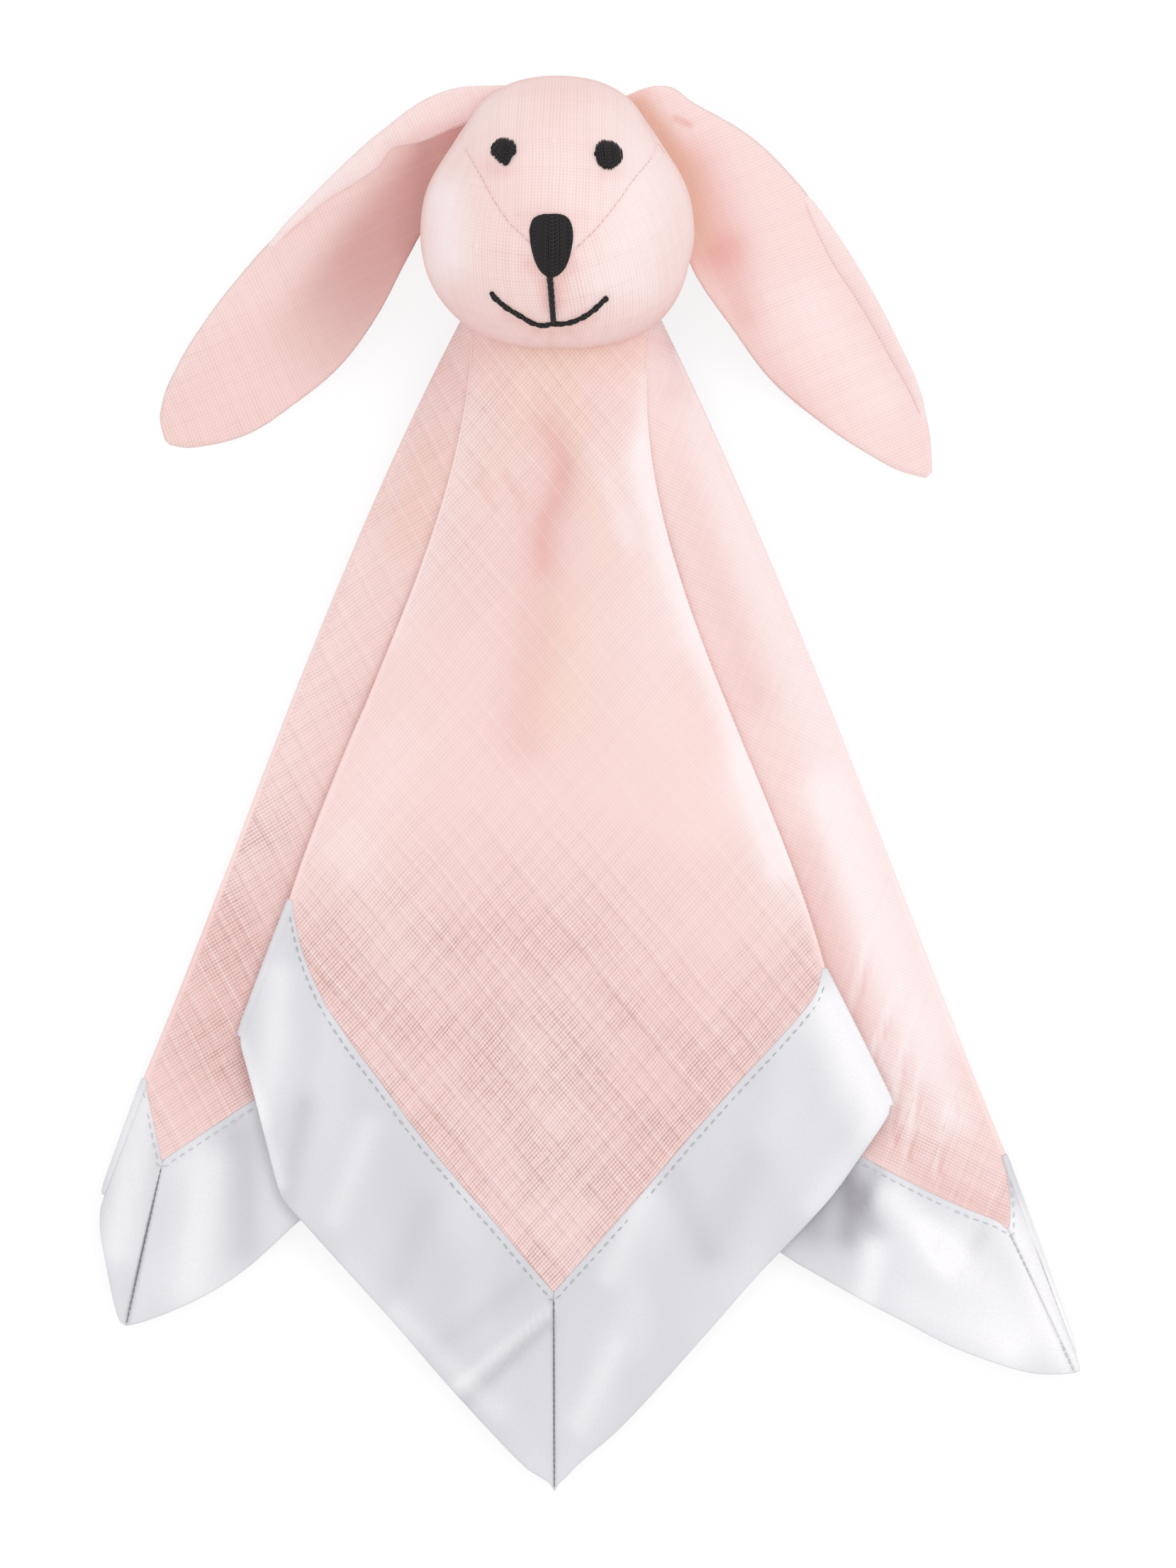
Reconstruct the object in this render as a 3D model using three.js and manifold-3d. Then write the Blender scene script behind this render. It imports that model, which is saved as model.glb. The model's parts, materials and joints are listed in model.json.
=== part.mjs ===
// Comfort blanket lovey: a stuffed rabbit head with two flat ears, sewn to the middle of a square
// muslin blanket with a satin border. It lies on its back with the blanket folded into pleats.
// Millimetres, +Z out of the face, +Y towards the crown, the floor at z = 0.
import * as THREE from "three";
import { mergeVertices } from "three/addons/utils/BufferGeometryUtils.js";
import Module from "manifold-3d";

const wasm = await Module();
wasm.setup();

// Blanket sizes
const blanketSide = 406;
const bandWidth = 31;
const neckRadius = 20;
const foldThickness = 2;
const threadDiameter = 0.8;
const seamGap = 0.3;
const stitchInset = 1.6;
const foldLinkSize = 3;

// Neck sizes
const neckDrop = 3;
const domeRadius = 15;
const neckThreadWall = 1.2;
const neckThreadWidth = 4;
const necklineWidth = 44;
const necklineDepth = 6;
const neckTop = 33;
const slopeLength = 95;
const slopeEndShare = 1.3;
const silhouetteShare = 0.41;
const archShare = 0.75;
const sideRiseShare = 0.8;

// Head sizes
const headWidth = 61.4;
const headHeight = 61.4;
const headDepth = 58;
const chinOverlap = 6.6;
const panelThickness = 1.6;
const muzzleRise = 3.2;
const muzzleSpread = 13;
const muzzleDrop = 12;
const threadRise = 1.1;
const mouthStroke = 1.4;

// Ear sizes
const earLength = 91.4;
const earWidth = 31;
const earPly = 1.3;
const earRootHeight = 26;
const earDropLength = 42;
const earRootGap = 0.7;

// Shapes taken from the picture of the lovey, in its pixels, with the neck at neckPixel
const neckPixel = [783, 450];
const reachPixels = 1653;
const bandPixels = 193;
const headPixels = 382;
const headPixel = [787, 300];

const reach = blanketSide / Math.SQRT2 - neckRadius;
const layerPitch = foldThickness + threadDiameter + 2 * seamGap;
const backBottom = 0;
const sideBottom = backBottom + layerPitch;
const frontBottom = sideBottom + layerPitch;
const headCentre = new THREE.Vector3(0, headHeight / 2 - chinOverlap, headDepth / 2);
const neckHeight = headCentre.z - neckDrop;
const faceScale = new THREE.Vector2(headWidth, headHeight).divideScalar(headPixels);

// Border runs: each row is the seam point and the outer edge point that faces it
const frontLeftRunPixels = [
  [409, 1269, 336, 1461], [435, 1384, 360, 1544], [472, 1441, 392, 1673], [530, 1521, 423, 1722],
  [587, 1607, 472, 1774], [644, 1665, 558, 1860], [702, 1728, 627, 1952], [748, 1785, 702, 2026],
  [781, 1823, 782, 2103],
];
const frontRightRunPixels = [
  [785, 1823, 786, 2103], [837, 1763, 877, 2019], [913, 1677, 990, 1891], [974, 1605, 1066, 1799],
  [1041, 1529, 1132, 1733], [1092, 1473, 1168, 1692], [1127, 1432, 1214, 1631],
  [1155, 1401, 1250, 1580], [1163, 1366, 1259, 1559],
];
const leftInnerRunPixels = [
  [230, 1639, 178, 1866], [270, 1610, 245, 1850], [315, 1580, 300, 1821], [363, 1549, 355, 1783],
  [410, 1524, 422, 1722], [455, 1500, 470, 1690],
];
const leftOuterRunPixels = [
  [203, 1535, 187, 1560], [203, 1560, 166, 1610], [208, 1590, 142, 1690], [216, 1617, 146, 1765],
  [226, 1637, 174, 1866],
];
const rightInnerRunPixels = [
  [1120, 1590, 1060, 1745], [1165, 1610, 1130, 1785], [1214, 1631, 1219, 1835],
  [1266, 1659, 1279, 1866], [1312, 1682, 1345, 1900], [1359, 1706, 1412, 1921],
  [1421, 1733, 1517, 1936],
];
const rightOuterRunPixels = [
  [1425, 1731, 1521, 1934], [1426, 1700, 1500, 1845], [1424, 1670, 1472, 1775],
  [1419, 1645, 1446, 1712], [1414, 1620, 1425, 1668],
];
const backLeftRunPixels = [
  [230, 1450, 174, 1640], [290, 1430, 240, 1660], [400, 1450, 350, 1700], [600, 1500, 560, 1780],
  [782, 1560, 782, 1840],
];
const backRightRunPixels = [
  [784, 1560, 784, 1840], [966, 1500, 1006, 1790], [1166, 1450, 1216, 1700],
  [1290, 1440, 1330, 1700], [1350, 1480, 1453, 1756],
];
const frontPanelFoldShares = [0.36, 0.46];
const leftLinkPixel = [415, 1640];
const rightLinkPixel = [1165, 1655];
const leftTurnPixel = [178, 1618];
const rightTurnPixel = [1447, 1745];

// Face shapes, in the same pixels
const leftEyePixel = [710, 213];
const rightEyePixel = [859, 218];
const eyeSpanPixels = [37, 41];
const nosePixels = [
  [747, 325], [754, 306], [778, 302], [802, 307], [808, 328], [804, 358], [796, 381], [779, 391],
  [761, 385], [751, 362],
];
const mouthPixels = [[778, 396], [779, 447]];
const smilePixels = [
  [693, 416], [730, 443], [764, 459], [780, 461], [796, 458], [829, 443], [856, 420],
];
const gussetTipPixel = [779, 393];
const gussetLeftPixel = [625, 158];
const gussetRightPixel = [945, 153];
const gussetReachShare = 3;

// Ears: how far along from root to tip, then how far to the outer and to the inner edge
const leftEar = {
  side: -1,
  root: [650, 233],
  tip: [242, 622],
  shares: [
    [-0.19, 0.28, 0.1], [-0.08, 0.483, 0.1], [0.08, 0.566, 0.1], [0.25, 0.583, 0.237],
    [0.4, 0.568, 0.385], [0.55, 0.536, 0.464], [0.7, 0.476, 0.435], [0.85, 0.364, 0.345],
    [0.95, 0.23, 0.18], [1, 0.07, 0.03],
  ],
};
const rightEar = {
  side: 1,
  root: [930, 254],
  tip: [1320, 677],
  shares: [
    [-0.2, 0.42, 0.1], [-0.08, 0.614, 0.1], [0.08, 0.725, 0.1], [0.25, 0.752, 0.267],
    [0.4, 0.712, 0.325], [0.55, 0.63, 0.369], [0.7, 0.512, 0.32], [0.85, 0.355, 0.216],
    [0.95, 0.17, 0.11], [1, 0.05, 0.02],
  ],
};

const muslin = new THREE.Color(0xf6d0cb);
const muslinPale = new THREE.Color(0xfbe2df);
const lining = new THREE.Color(0xe6b7b2);
const satin = new THREE.Color(0xebe9ee);
const greyThread = new THREE.Color(0xb9c2c0);
const blackThread = new THREE.Color(0x1b1818);
const fill = new THREE.Color(0xf4f1ea);

// Closed bodies

function bodyOf(positions, indices) {
  const geometry = new THREE.BufferGeometry();
  geometry.setAttribute("position", new THREE.Float32BufferAttribute(positions, 3));
  geometry.setIndex(indices);
  return bodyOfGeometry(geometry);
}

function bodyOfGeometry(geometry) {
  geometry.deleteAttribute("normal");
  geometry.deleteAttribute("uv");
  const merged = mergeVertices(geometry, 1e-4);
  const corners = merged.index.array;
  const kept = [];
  for (let i = 0; i < corners.length; i += 3) {
    const [a, b, c] = [corners[i], corners[i + 1], corners[i + 2]];
    if (a !== b && b !== c && c !== a) kept.push(a, b, c);
  }
  const vertProperties = merged.attributes.position.array;
  const made = (list) => new wasm.Manifold(
    new wasm.Mesh({ numProp: 3, vertProperties, triVerts: new Uint32Array(list) }),
  );
  const body = made(kept);
  return body.volume() > 0 ? body : made(kept.reverse());
}

function meshOf(name, body, color, roughness) {
  const { numProp, vertProperties, triVerts } = body.getMesh();
  const positions = [];
  for (let i = 0; i < vertProperties.length; i += numProp) {
    positions.push(...vertProperties.subarray(i, i + 3));
  }
  const geometry = new THREE.BufferGeometry();
  geometry.setAttribute("position", new THREE.Float32BufferAttribute(positions, 3));
  geometry.setIndex(Array.from(triVerts));
  geometry.computeVertexNormals();
  const material = new THREE.MeshStandardMaterial({ color, roughness, metalness: 0 });
  const mesh = new THREE.Mesh(geometry, material);
  mesh.name = name;
  return mesh;
}

// The outer shell of a joined body, with the pockets inside it filled
function filledSolid(body) {
  const shells = body.decompose();
  return shells.reduce((kept, shell) => (shell.volume() > kept.volume() ? shell : kept));
}

// A prism along Z over a plan outline
function prism(outline, low, high) {
  const geometry = new THREE.ExtrudeGeometry(new THREE.Shape(outline), {
    depth: high - low,
    bevelEnabled: false,
  });
  geometry.translate(0, 0, low);
  return bodyOfGeometry(geometry);
}

// A layer of cloth between two lines of as many points, with its top and bottom as heights of x, y
function ply(innerLine, outerLine, rows, topAt, bottomAt) {
  const positions = [];
  const indices = [];
  const columns = innerLine.length;
  for (const heightAt of [topAt, bottomAt]) {
    for (let i = 0; i < columns; i += 1) {
      for (let j = 0; j <= rows; j += 1) {
        const at = innerLine[i].clone().lerp(outerLine[i], j / rows);
        positions.push(at.x, at.y, heightAt(at.x, at.y));
      }
    }
  }
  const top = (i, j) => i * (rows + 1) + j;
  const bottom = (i, j) => columns * (rows + 1) + top(i, j);
  const quad = (a, b, c, d) => indices.push(a, b, c, a, c, d);
  for (let i = 0; i + 1 < columns; i += 1) {
    for (let j = 0; j < rows; j += 1) {
      quad(top(i, j), top(i, j + 1), top(i + 1, j + 1), top(i + 1, j));
      quad(bottom(i, j), bottom(i + 1, j), bottom(i + 1, j + 1), bottom(i, j + 1));
    }
    quad(top(i, 0), top(i + 1, 0), bottom(i + 1, 0), bottom(i, 0));
    quad(top(i + 1, rows), top(i, rows), bottom(i, rows), bottom(i + 1, rows));
  }
  for (let j = 0; j < rows; j += 1) {
    const last = columns - 1;
    quad(top(0, j + 1), top(0, j), bottom(0, j), bottom(0, j + 1));
    quad(top(last, j), top(last, j + 1), bottom(last, j + 1), bottom(last, j));
  }
  return bodyOf(positions, indices);
}

// A round thread along a line of points
function thread(points, diameter) {
  const section = new THREE.Shape();
  section.absarc(0, 0, diameter / 2, 0, 2 * Math.PI);
  const path = new THREE.CatmullRomCurve3(points, false, "centripetal");
  const geometry = new THREE.ExtrudeGeometry(section, {
    steps: 3 * points.length,
    curveSegments: 3,
    extrudePath: path,
  });
  return bodyOfGeometry(geometry);
}

// The blanket in plan

function blanketPoint([x, y]) {
  const scale = reach / reachPixels;
  return new THREE.Vector2((x - neckPixel[0]) * scale, (neckPixel[1] - y) * scale);
}

function seamLine(run, setBack = 0) {
  return run.map(([sx, sy, ox, oy]) => {
    const inward = new THREE.Vector2(sx - ox, oy - sy).normalize();
    return blanketPoint([sx, sy]).addScaledVector(inward, setBack);
  });
}

function outerLine(run) {
  return run.map(([sx, sy, ox, oy]) => {
    const across = new THREE.Vector2(ox - sx, sy - oy).multiplyScalar(bandWidth / bandPixels);
    return blanketPoint([sx, sy]).add(across);
  });
}

// The neckline is half an ellipse, cut into as many points as the line that it faces
function neckline(count, fromShare, toShare) {
  return Array.from({ length: count }, (_, i) => {
    const share = THREE.MathUtils.lerp(fromShare, toShare, i / (count - 1));
    const x = (share * necklineWidth) / 2;
    return new THREE.Vector2(x, -necklineDepth * (1 + Math.sqrt(Math.max(0, 1 - share * share))));
  });
}

// Heights: every layer rises to the neck and runs out flat towards the border
function shoulder(x, y) {
  const fall = 1 - THREE.MathUtils.smoothstep(-y, 2 * necklineDepth, slopeLength);
  const half = necklineWidth / 2 - silhouetteShare * y;
  const across = Math.min(1, Math.abs(x) / half);
  return fall * Math.sqrt(1 - archShare * across * across);
}

const topOf = (bottom) => bottom + foldThickness;
const frontTop = (x, y) => topOf(frontBottom) + (neckTop - topOf(frontBottom)) * shoulder(x, y);
const sideTop = (x, y) => topOf(sideBottom) + (frontTop(x, y) - topOf(frontBottom)) * sideRiseShare;
const filled = (y) => 1 - THREE.MathUtils.smoothstep(-y, slopeLength, slopeEndShare * slopeLength);
const sideFloor = (x, y) => sideBottom - filled(y) * (sideBottom - foldThickness / 2);
const frontFloor = (x, y) => {
  const closed = sideTop(x, y) - foldThickness / 2;
  return frontBottom + filled(y) * (closed - frontBottom);
};

// Blanket pieces

function muslinPanel() {
  const frontSeam = [
    ...seamLine(frontLeftRunPixels, seamGap),
    ...seamLine(frontRightRunPixels, seamGap),
  ];
  const [frontLeftShare, frontRightShare] = frontPanelFoldShares;
  const front = ply(
    neckline(frontSeam.length, -frontLeftShare * 2, frontRightShare * 2),
    frontSeam, 8, frontTop, frontFloor,
  );
  const sideSeam = [
    ...seamLine(leftOuterRunPixels, seamGap),
    ...seamLine(leftInnerRunPixels, seamGap),
    ...seamLine(rightInnerRunPixels, seamGap),
    ...seamLine(rightOuterRunPixels, seamGap),
  ];
  const sides = ply(neckline(sideSeam.length, -1, 1), sideSeam, 8, sideTop, sideFloor);
  const backSeam = [
    ...seamLine(backLeftRunPixels, seamGap),
    ...seamLine(backRightRunPixels, seamGap),
  ];
  const back = ply(
    neckline(backSeam.length, -0.9, 0.9).map((at) => at.setY(at.y - neckRadius)),
    backSeam, 6, () => topOf(backBottom), () => backBottom,
  );
  const dome = bodyOfGeometry(
    new THREE.SphereGeometry(domeRadius, 20, 14).translate(0, 0, neckHeight),
  );
  return filledSolid(front.add(sides).add(back).add(dome));
}

function border(run, bottom) {
  return ply(seamLine(run), outerLine(run), 3, () => topOf(bottom), () => bottom);
}

// A short web through the pleat, where the border turns from one layer to the next
function foldLink(pixel, low, high) {
  const at = blanketPoint(pixel);
  const half = foldLinkSize / 2;
  const outline = [[-half, -half], [half, -half], [half, half], [-half, half]];
  return prism(outline.map(([x, y]) => new THREE.Vector2(at.x + x, at.y + y)), low, topOf(high));
}

function satinStrip(upperRun, upperBottom, lowerRun, lowerBottom, linkPixel) {
  return border(upperRun, upperBottom)
    .add(border(lowerRun, lowerBottom))
    .add(foldLink(linkPixel, lowerBottom, upperBottom));
}

// The topstitch runs inside the satin's edge, over both strips of a corner
function topstitch(runs, bottom) {
  const height = topOf(bottom) + seamGap + threadDiameter / 2;
  const points = runs.flatMap((run) => seamLine(run, -stitchInset)).map(
    (at) => new THREE.Vector3(at.x, at.y, height),
  );
  return thread(points, threadDiameter);
}

function mitreStitch(run, atStart, bottom) {
  const height = topOf(bottom) + seamGap + threadDiameter / 2;
  const station = atStart ? 0 : run.length - 1;
  const seam = seamLine(run)[station];
  const outer = outerLine(run)[station];
  const points = [0.14, 0.4, 0.7, 0.97].map((share) => {
    const at = seam.clone().lerp(outer, share);
    return new THREE.Vector3(at.x, at.y, height);
  });
  return thread(points, threadDiameter);
}

// Head: a ball with full cheeks, grown by an offset, with a soft muzzle

function headBall(offset) {
  const profile = [];
  const steps = 18;
  for (let i = 0; i <= steps; i += 1) {
    const angle = Math.PI * (i / steps - 0.5);
    const fullness = angle < 0 ? 2 / 2.7 : 1;
    const rise = Math.sign(angle) * Math.abs(Math.sin(angle)) ** fullness;
    const spread = i === 0 || i === steps ? 0 : Math.cos(angle) ** fullness;
    profile.push(new THREE.Vector2(
      spread * (headWidth / 2 + offset),
      rise * (headHeight / 2 + offset),
    ));
  }
  const geometry = new THREE.LatheGeometry(profile, 32);
  const position = geometry.attributes.position;
  for (let i = 0; i < position.count; i += 1) {
    const [x, y] = [position.getX(i), position.getY(i)];
    const z = position.getZ(i) * ((headDepth / 2 + offset) / (headWidth / 2 + offset));
    const away = (x * x + (y + muzzleDrop) ** 2) / muzzleSpread ** 2;
    const facing = Math.max(0, z) / (headDepth / 2);
    position.setZ(i, z + muzzleRise * facing * Math.exp(-away));
  }
  geometry.translate(headCentre.x, headCentre.y, headCentre.z);
  return bodyOfGeometry(geometry);
}

function facePoint([x, y]) {
  return new THREE.Vector2(
    headCentre.x + (x - headPixel[0]) * faceScale.x,
    headCentre.y + (headPixel[1] - y) * faceScale.y,
  );
}

function neckSocket() {
  const radius = domeRadius + 3 * seamGap + neckThreadWall;
  return bodyOfGeometry(new THREE.SphereGeometry(radius, 20, 14).translate(0, 0, neckHeight));
}

function headPanels() {
  const shell = headBall(0).subtract(headBall(-panelThickness)).subtract(neckSocket());
  const far = 2 * headWidth;
  const middle = headCentre.z;
  const half = seamGap / 2;
  const everywhere = [[-far, -far], [far, -far], [far, far], [-far, far]];
  const square = everywhere.map(([x, y]) => new THREE.Vector2(x, y));
  const back = shell.intersect(prism(square, -far, middle - half));
  const front = shell.intersect(prism(square, middle + half, far));
  const tip = facePoint(gussetTipPixel);
  const beyond = (pixel) => facePoint(pixel).sub(tip).multiplyScalar(gussetReachShare).add(tip);
  const [left, right] = [beyond(gussetLeftPixel), beyond(gussetRightPixel)];
  const gusset = prism([new THREE.Vector2(tip.x, tip.y + half), left, right].map((at, i) => (
    i === 0 ? at : new THREE.Vector2(at.x, at.y + 2 * half)
  )), 0, far);
  const low = new THREE.Vector2(tip.x, -far);
  const cheek = (side, edge) => prism([
    new THREE.Vector2(tip.x + side * half, tip.y - half),
    new THREE.Vector2(edge.x, edge.y - half),
    new THREE.Vector2(side * far, edge.y - half),
    new THREE.Vector2(side * far, low.y),
    new THREE.Vector2(low.x + side * half, low.y),
  ], 0, far);
  return {
    back,
    gusset: front.intersect(gusset),
    cheekLeft: front.intersect(cheek(-1, left)),
    cheekRight: front.intersect(cheek(1, right)),
  };
}

// Embroidery follows the head's surface under a plan outline
function embroidery(outline) {
  const layer = headBall(seamGap + threadRise).subtract(headBall(seamGap));
  return layer.intersect(prism(outline, headCentre.z + 5 * seamGap, 2 * headDepth));
}

function eye(pixel) {
  const centre = facePoint(pixel);
  const across = (eyeSpanPixels[0] * faceScale.x) / 2;
  const along = (eyeSpanPixels[1] * faceScale.y) / 2;
  return embroidery(new THREE.EllipseCurve(centre.x, centre.y, across, along).getPoints(16));
}

// A stroke of even width along a line in plan
function stroke(pixels, width) {
  const line = new THREE.SplineCurve(pixels.map(facePoint));
  const count = 4 * (pixels.length - 1);
  const edge = (side) => Array.from({ length: count + 1 }, (_, i) => {
    const at = line.getPoint(i / count);
    const along = line.getTangent(i / count);
    return new THREE.Vector2(at.x - (side * along.y * width) / 2, at.y + (side * along.x * width) / 2);
  });
  return [...edge(1), ...edge(-1).reverse()];
}

// The thread ring that sews the blanket's middle into the head's neck opening
function neckThread() {
  const inner = domeRadius + seamGap;
  const outer = inner + neckThreadWall;
  const half = neckThreadWidth / 2;
  const section = [[inner, -half], [outer, -half], [outer, half], [inner, half], [inner, -half]];
  const profile = section.map(([x, y]) => new THREE.Vector2(x, y));
  return bodyOfGeometry(new THREE.LatheGeometry(profile, 28).translate(0, 0, neckHeight));
}

// Ears: two plies each, from the side of the head down to the floor

function earPieces({ side, root, tip, shares }) {
  const from = facePoint(root);
  const along = facePoint(tip).sub(from).normalize();
  const outward = new THREE.Vector2(-along.y, along.x).multiplyScalar(-side);
  if (outward.y < 0) outward.negate();
  const line = (column, sign) => shares.map((row) => (
    from.clone()
      .addScaledVector(along, row[0] * earLength)
      .addScaledVector(outward, sign * row[column] * earWidth)
  ));
  const centre = new THREE.Vector2(headCentre.x, headCentre.y);
  const drop = (x, y) => {
    const away = centre.distanceTo(new THREE.Vector2(x, y)) - headWidth / 2;
    return (earRootHeight - 2 * earPly) * (1 - THREE.MathUtils.smoothstep(away, 0, earDropLength));
  };
  const backTop = (x, y) => drop(x, y) + earPly;
  const liningTop = (x, y) => backTop(x, y) + seamGap + earPly;
  const outline = new THREE.EllipseCurve(
    headCentre.x, headCentre.y, headWidth / 2 + earRootGap, headHeight / 2 + earRootGap,
  ).getPoints(40);
  const clear = prism(outline, -headDepth, 2 * headDepth);
  const one = (top) => ply(line(2, -1), line(1, 1), 4, top, (x, y) => top(x, y) - earPly);
  return { lining: one(liningTop).subtract(clear), back: one(backTop).subtract(clear) };
}

// Assembly

const lovey = new THREE.Group();
const put = (name, body, color, roughness = 0.9) => lovey.add(meshOf(name, body, color, roughness));

put("muslin_panel", muslinPanel(), muslin);
put("satin_front_left",
  satinStrip(frontLeftRunPixels, frontBottom, leftInnerRunPixels, sideBottom, leftLinkPixel),
  satin, 0.35);
put("satin_front_right",
  satinStrip(frontRightRunPixels, frontBottom, rightInnerRunPixels, sideBottom, rightLinkPixel),
  satin, 0.35);
put("satin_back_left",
  satinStrip(leftOuterRunPixels, sideBottom, backLeftRunPixels, backBottom, leftTurnPixel),
  satin, 0.35);
put("satin_back_right",
  satinStrip(rightOuterRunPixels, sideBottom, backRightRunPixels, backBottom, rightTurnPixel),
  satin, 0.35);

put("topstitch_front", topstitch([frontLeftRunPixels, frontRightRunPixels], frontBottom), greyThread);
const leftSeams = [leftOuterRunPixels, leftInnerRunPixels.slice(0, 4)];
const rightSeams = [rightInnerRunPixels.slice(2), rightOuterRunPixels];
put("topstitch_left", topstitch(leftSeams, sideBottom), greyThread);
put("topstitch_right", topstitch(rightSeams, sideBottom), greyThread);
put("topstitch_back", topstitch([backLeftRunPixels, backRightRunPixels], backBottom), greyThread);
put("mitre_stitch_front", mitreStitch(frontRightRunPixels, true, frontBottom), greyThread);
put("mitre_stitch_left", mitreStitch(leftInnerRunPixels, true, sideBottom), greyThread);
put("mitre_stitch_right", mitreStitch(rightInnerRunPixels, false, sideBottom), greyThread);
put("mitre_stitch_back", mitreStitch(backRightRunPixels, true, backBottom), greyThread);

put("neck_thread", neckThread(), muslinPale);

const panels = headPanels();
put("head_stuffing", headBall(-panelThickness - seamGap).subtract(neckSocket()), fill);
put("head_back", panels.back, muslin);
put("crown_gusset", panels.gusset, muslin);
put("cheek_left", panels.cheekLeft, muslinPale);
put("cheek_right", panels.cheekRight, muslinPale);
put("eye_left", eye(leftEyePixel), blackThread, 0.6);
put("eye_right", eye(rightEyePixel), blackThread, 0.6);
put("nose", embroidery(nosePixels.map(facePoint)), blackThread, 0.6);
put("mouth_line", embroidery(stroke(mouthPixels, mouthStroke)), blackThread, 0.6);
put("smile", embroidery(stroke(smilePixels, mouthStroke)), blackThread, 0.6);

for (const [side, ear] of [["left", leftEar], ["right", rightEar]]) {
  const pieces = earPieces(ear);
  put("ear_lining_" + side, pieces.lining, lining);
  put("ear_back_" + side, pieces.back, muslin);
}

// The frame's origin is the middle of the footprint, on the floor
const box = new THREE.Box3().setFromObject(lovey);
lovey.position.set(-(box.min.x + box.max.x) / 2, -(box.min.y + box.max.y) / 2, -box.min.z);

export default lovey;
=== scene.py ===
# %% [markdown]
# # A comfort blanket with a rabbit's head
#
# The real thing is a square of pink muslin gauze with a wide satin border, sewn by its middle to a small
# stuffed rabbit's head. It lies on its back on a white table, and the blanket hangs down in pleats.
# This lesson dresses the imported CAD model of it: every soft piece is made again here, thin and detailed,
# in the place where its CAD solid lies.

import collections
import json
import math

import bmesh
import bpy
import numpy as np
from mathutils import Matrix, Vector
from mathutils.bvhtree import BVHTree


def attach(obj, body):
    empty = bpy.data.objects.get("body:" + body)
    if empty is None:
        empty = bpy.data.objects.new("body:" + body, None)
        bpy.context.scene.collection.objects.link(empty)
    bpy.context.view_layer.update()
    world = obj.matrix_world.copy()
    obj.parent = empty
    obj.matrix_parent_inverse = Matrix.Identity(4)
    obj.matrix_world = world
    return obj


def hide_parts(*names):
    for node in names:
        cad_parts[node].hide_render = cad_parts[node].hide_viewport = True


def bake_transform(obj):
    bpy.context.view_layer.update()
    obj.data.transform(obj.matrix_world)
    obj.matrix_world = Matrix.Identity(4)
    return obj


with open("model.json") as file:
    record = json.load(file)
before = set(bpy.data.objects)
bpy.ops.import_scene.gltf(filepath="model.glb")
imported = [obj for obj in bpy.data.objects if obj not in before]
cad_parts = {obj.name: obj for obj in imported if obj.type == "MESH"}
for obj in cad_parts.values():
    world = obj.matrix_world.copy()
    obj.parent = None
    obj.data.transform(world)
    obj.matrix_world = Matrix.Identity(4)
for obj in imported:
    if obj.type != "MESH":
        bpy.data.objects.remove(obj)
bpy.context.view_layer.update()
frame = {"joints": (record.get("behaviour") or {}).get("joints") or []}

# %% [markdown]
# Two sets of sizes tie the picture of the lovey to the model. The flat blanket lies a little further from
# the lens than the head, so each has its own scale. Both start from the neck, which is where the model's
# nodding joint is, so the pieces follow the model if it moves.

# %% From the picture to the table
neck_joint = next(j for j in frame["joints"] if j["name"] == "neck_nod")
neck_mm = np.array(neck_joint["pos_m"]) * 1000.0
PICTURE_WIDTH = 1659
PICTURE_HEIGHT = 2212
NECK_PIXEL = (783.0, 450.0)
HEAD_PIXEL = (787.0, 300.0)
CLOTH_SCALE = 0.16158
FACE_SCALE = 0.16073
CLOTH_LEVEL = 7.0
HEAD_CENTRE = np.array([0.0, 24.1, 29.0])
HEAD_RADIUS = 30.7
HEAD_HALF_DEPTH = 29.0


def cloth_xy(px, py):
    """A picture point on the blanket, in millimetres from the neck."""
    return np.array([px - NECK_PIXEL[0], NECK_PIXEL[1] - py]) * CLOTH_SCALE


def face_xy(px, py):
    """A picture point on the head or an ear, in millimetres from the neck."""
    return HEAD_CENTRE[0:2] + np.array([px - HEAD_PIXEL[0], HEAD_PIXEL[1] - py]) * FACE_SCALE


def to_metres(points):
    """Millimetres from the neck become metres in the model's frame."""
    points = np.asarray(points, float)
    return (points + np.array([neck_mm[0], neck_mm[1], 0.0])) / 1000.0


print("the neck is at", neck_mm.round(2), "mm")

# %% [markdown]
# ## Camera, light and table
#
# The picture looks straight down on the lovey through a long lens, so nothing leans outwards. The light
# is plain and even: a white world, and one large soft lamp from the upper right, which leaves the left
# side of each fold a little darker. The table is white to the camera but keeps a soft shadow.

# %% The camera
CAMERA_HEIGHT = 9.0
SENSOR = 36.0


def put_in_scene(name, data):
    made = bpy.data.objects.new(name, data)
    bpy.context.scene.collection.objects.link(made)
    return made


camera_data = bpy.data.cameras.new("camera")
camera_data.sensor_fit = "AUTO"
camera_data.sensor_width = SENSOR
seen_height = PICTURE_HEIGHT * CLOTH_SCALE / 1000.0
camera_data.lens = SENSOR * (CAMERA_HEIGHT - CLOTH_LEVEL / 1000.0) / seen_height
camera_data.clip_end = 50.0
camera = put_in_scene("camera", camera_data)
camera_spot = np.array([*cloth_xy(PICTURE_WIDTH / 2.0, PICTURE_HEIGHT / 2.0), CAMERA_HEIGHT * 1000.0])
camera.location = to_metres(camera_spot)
bpy.context.scene.camera = camera
bpy.context.scene.view_settings.view_transform = "Standard"
print("the lens is", round(camera_data.lens), "mm")


def sight_line(px, py):
    """The line of sight through a picture point: its start and its direction."""
    target = np.array([*cloth_xy(px, py), CLOTH_LEVEL])
    return camera_spot, target - camera_spot


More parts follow.
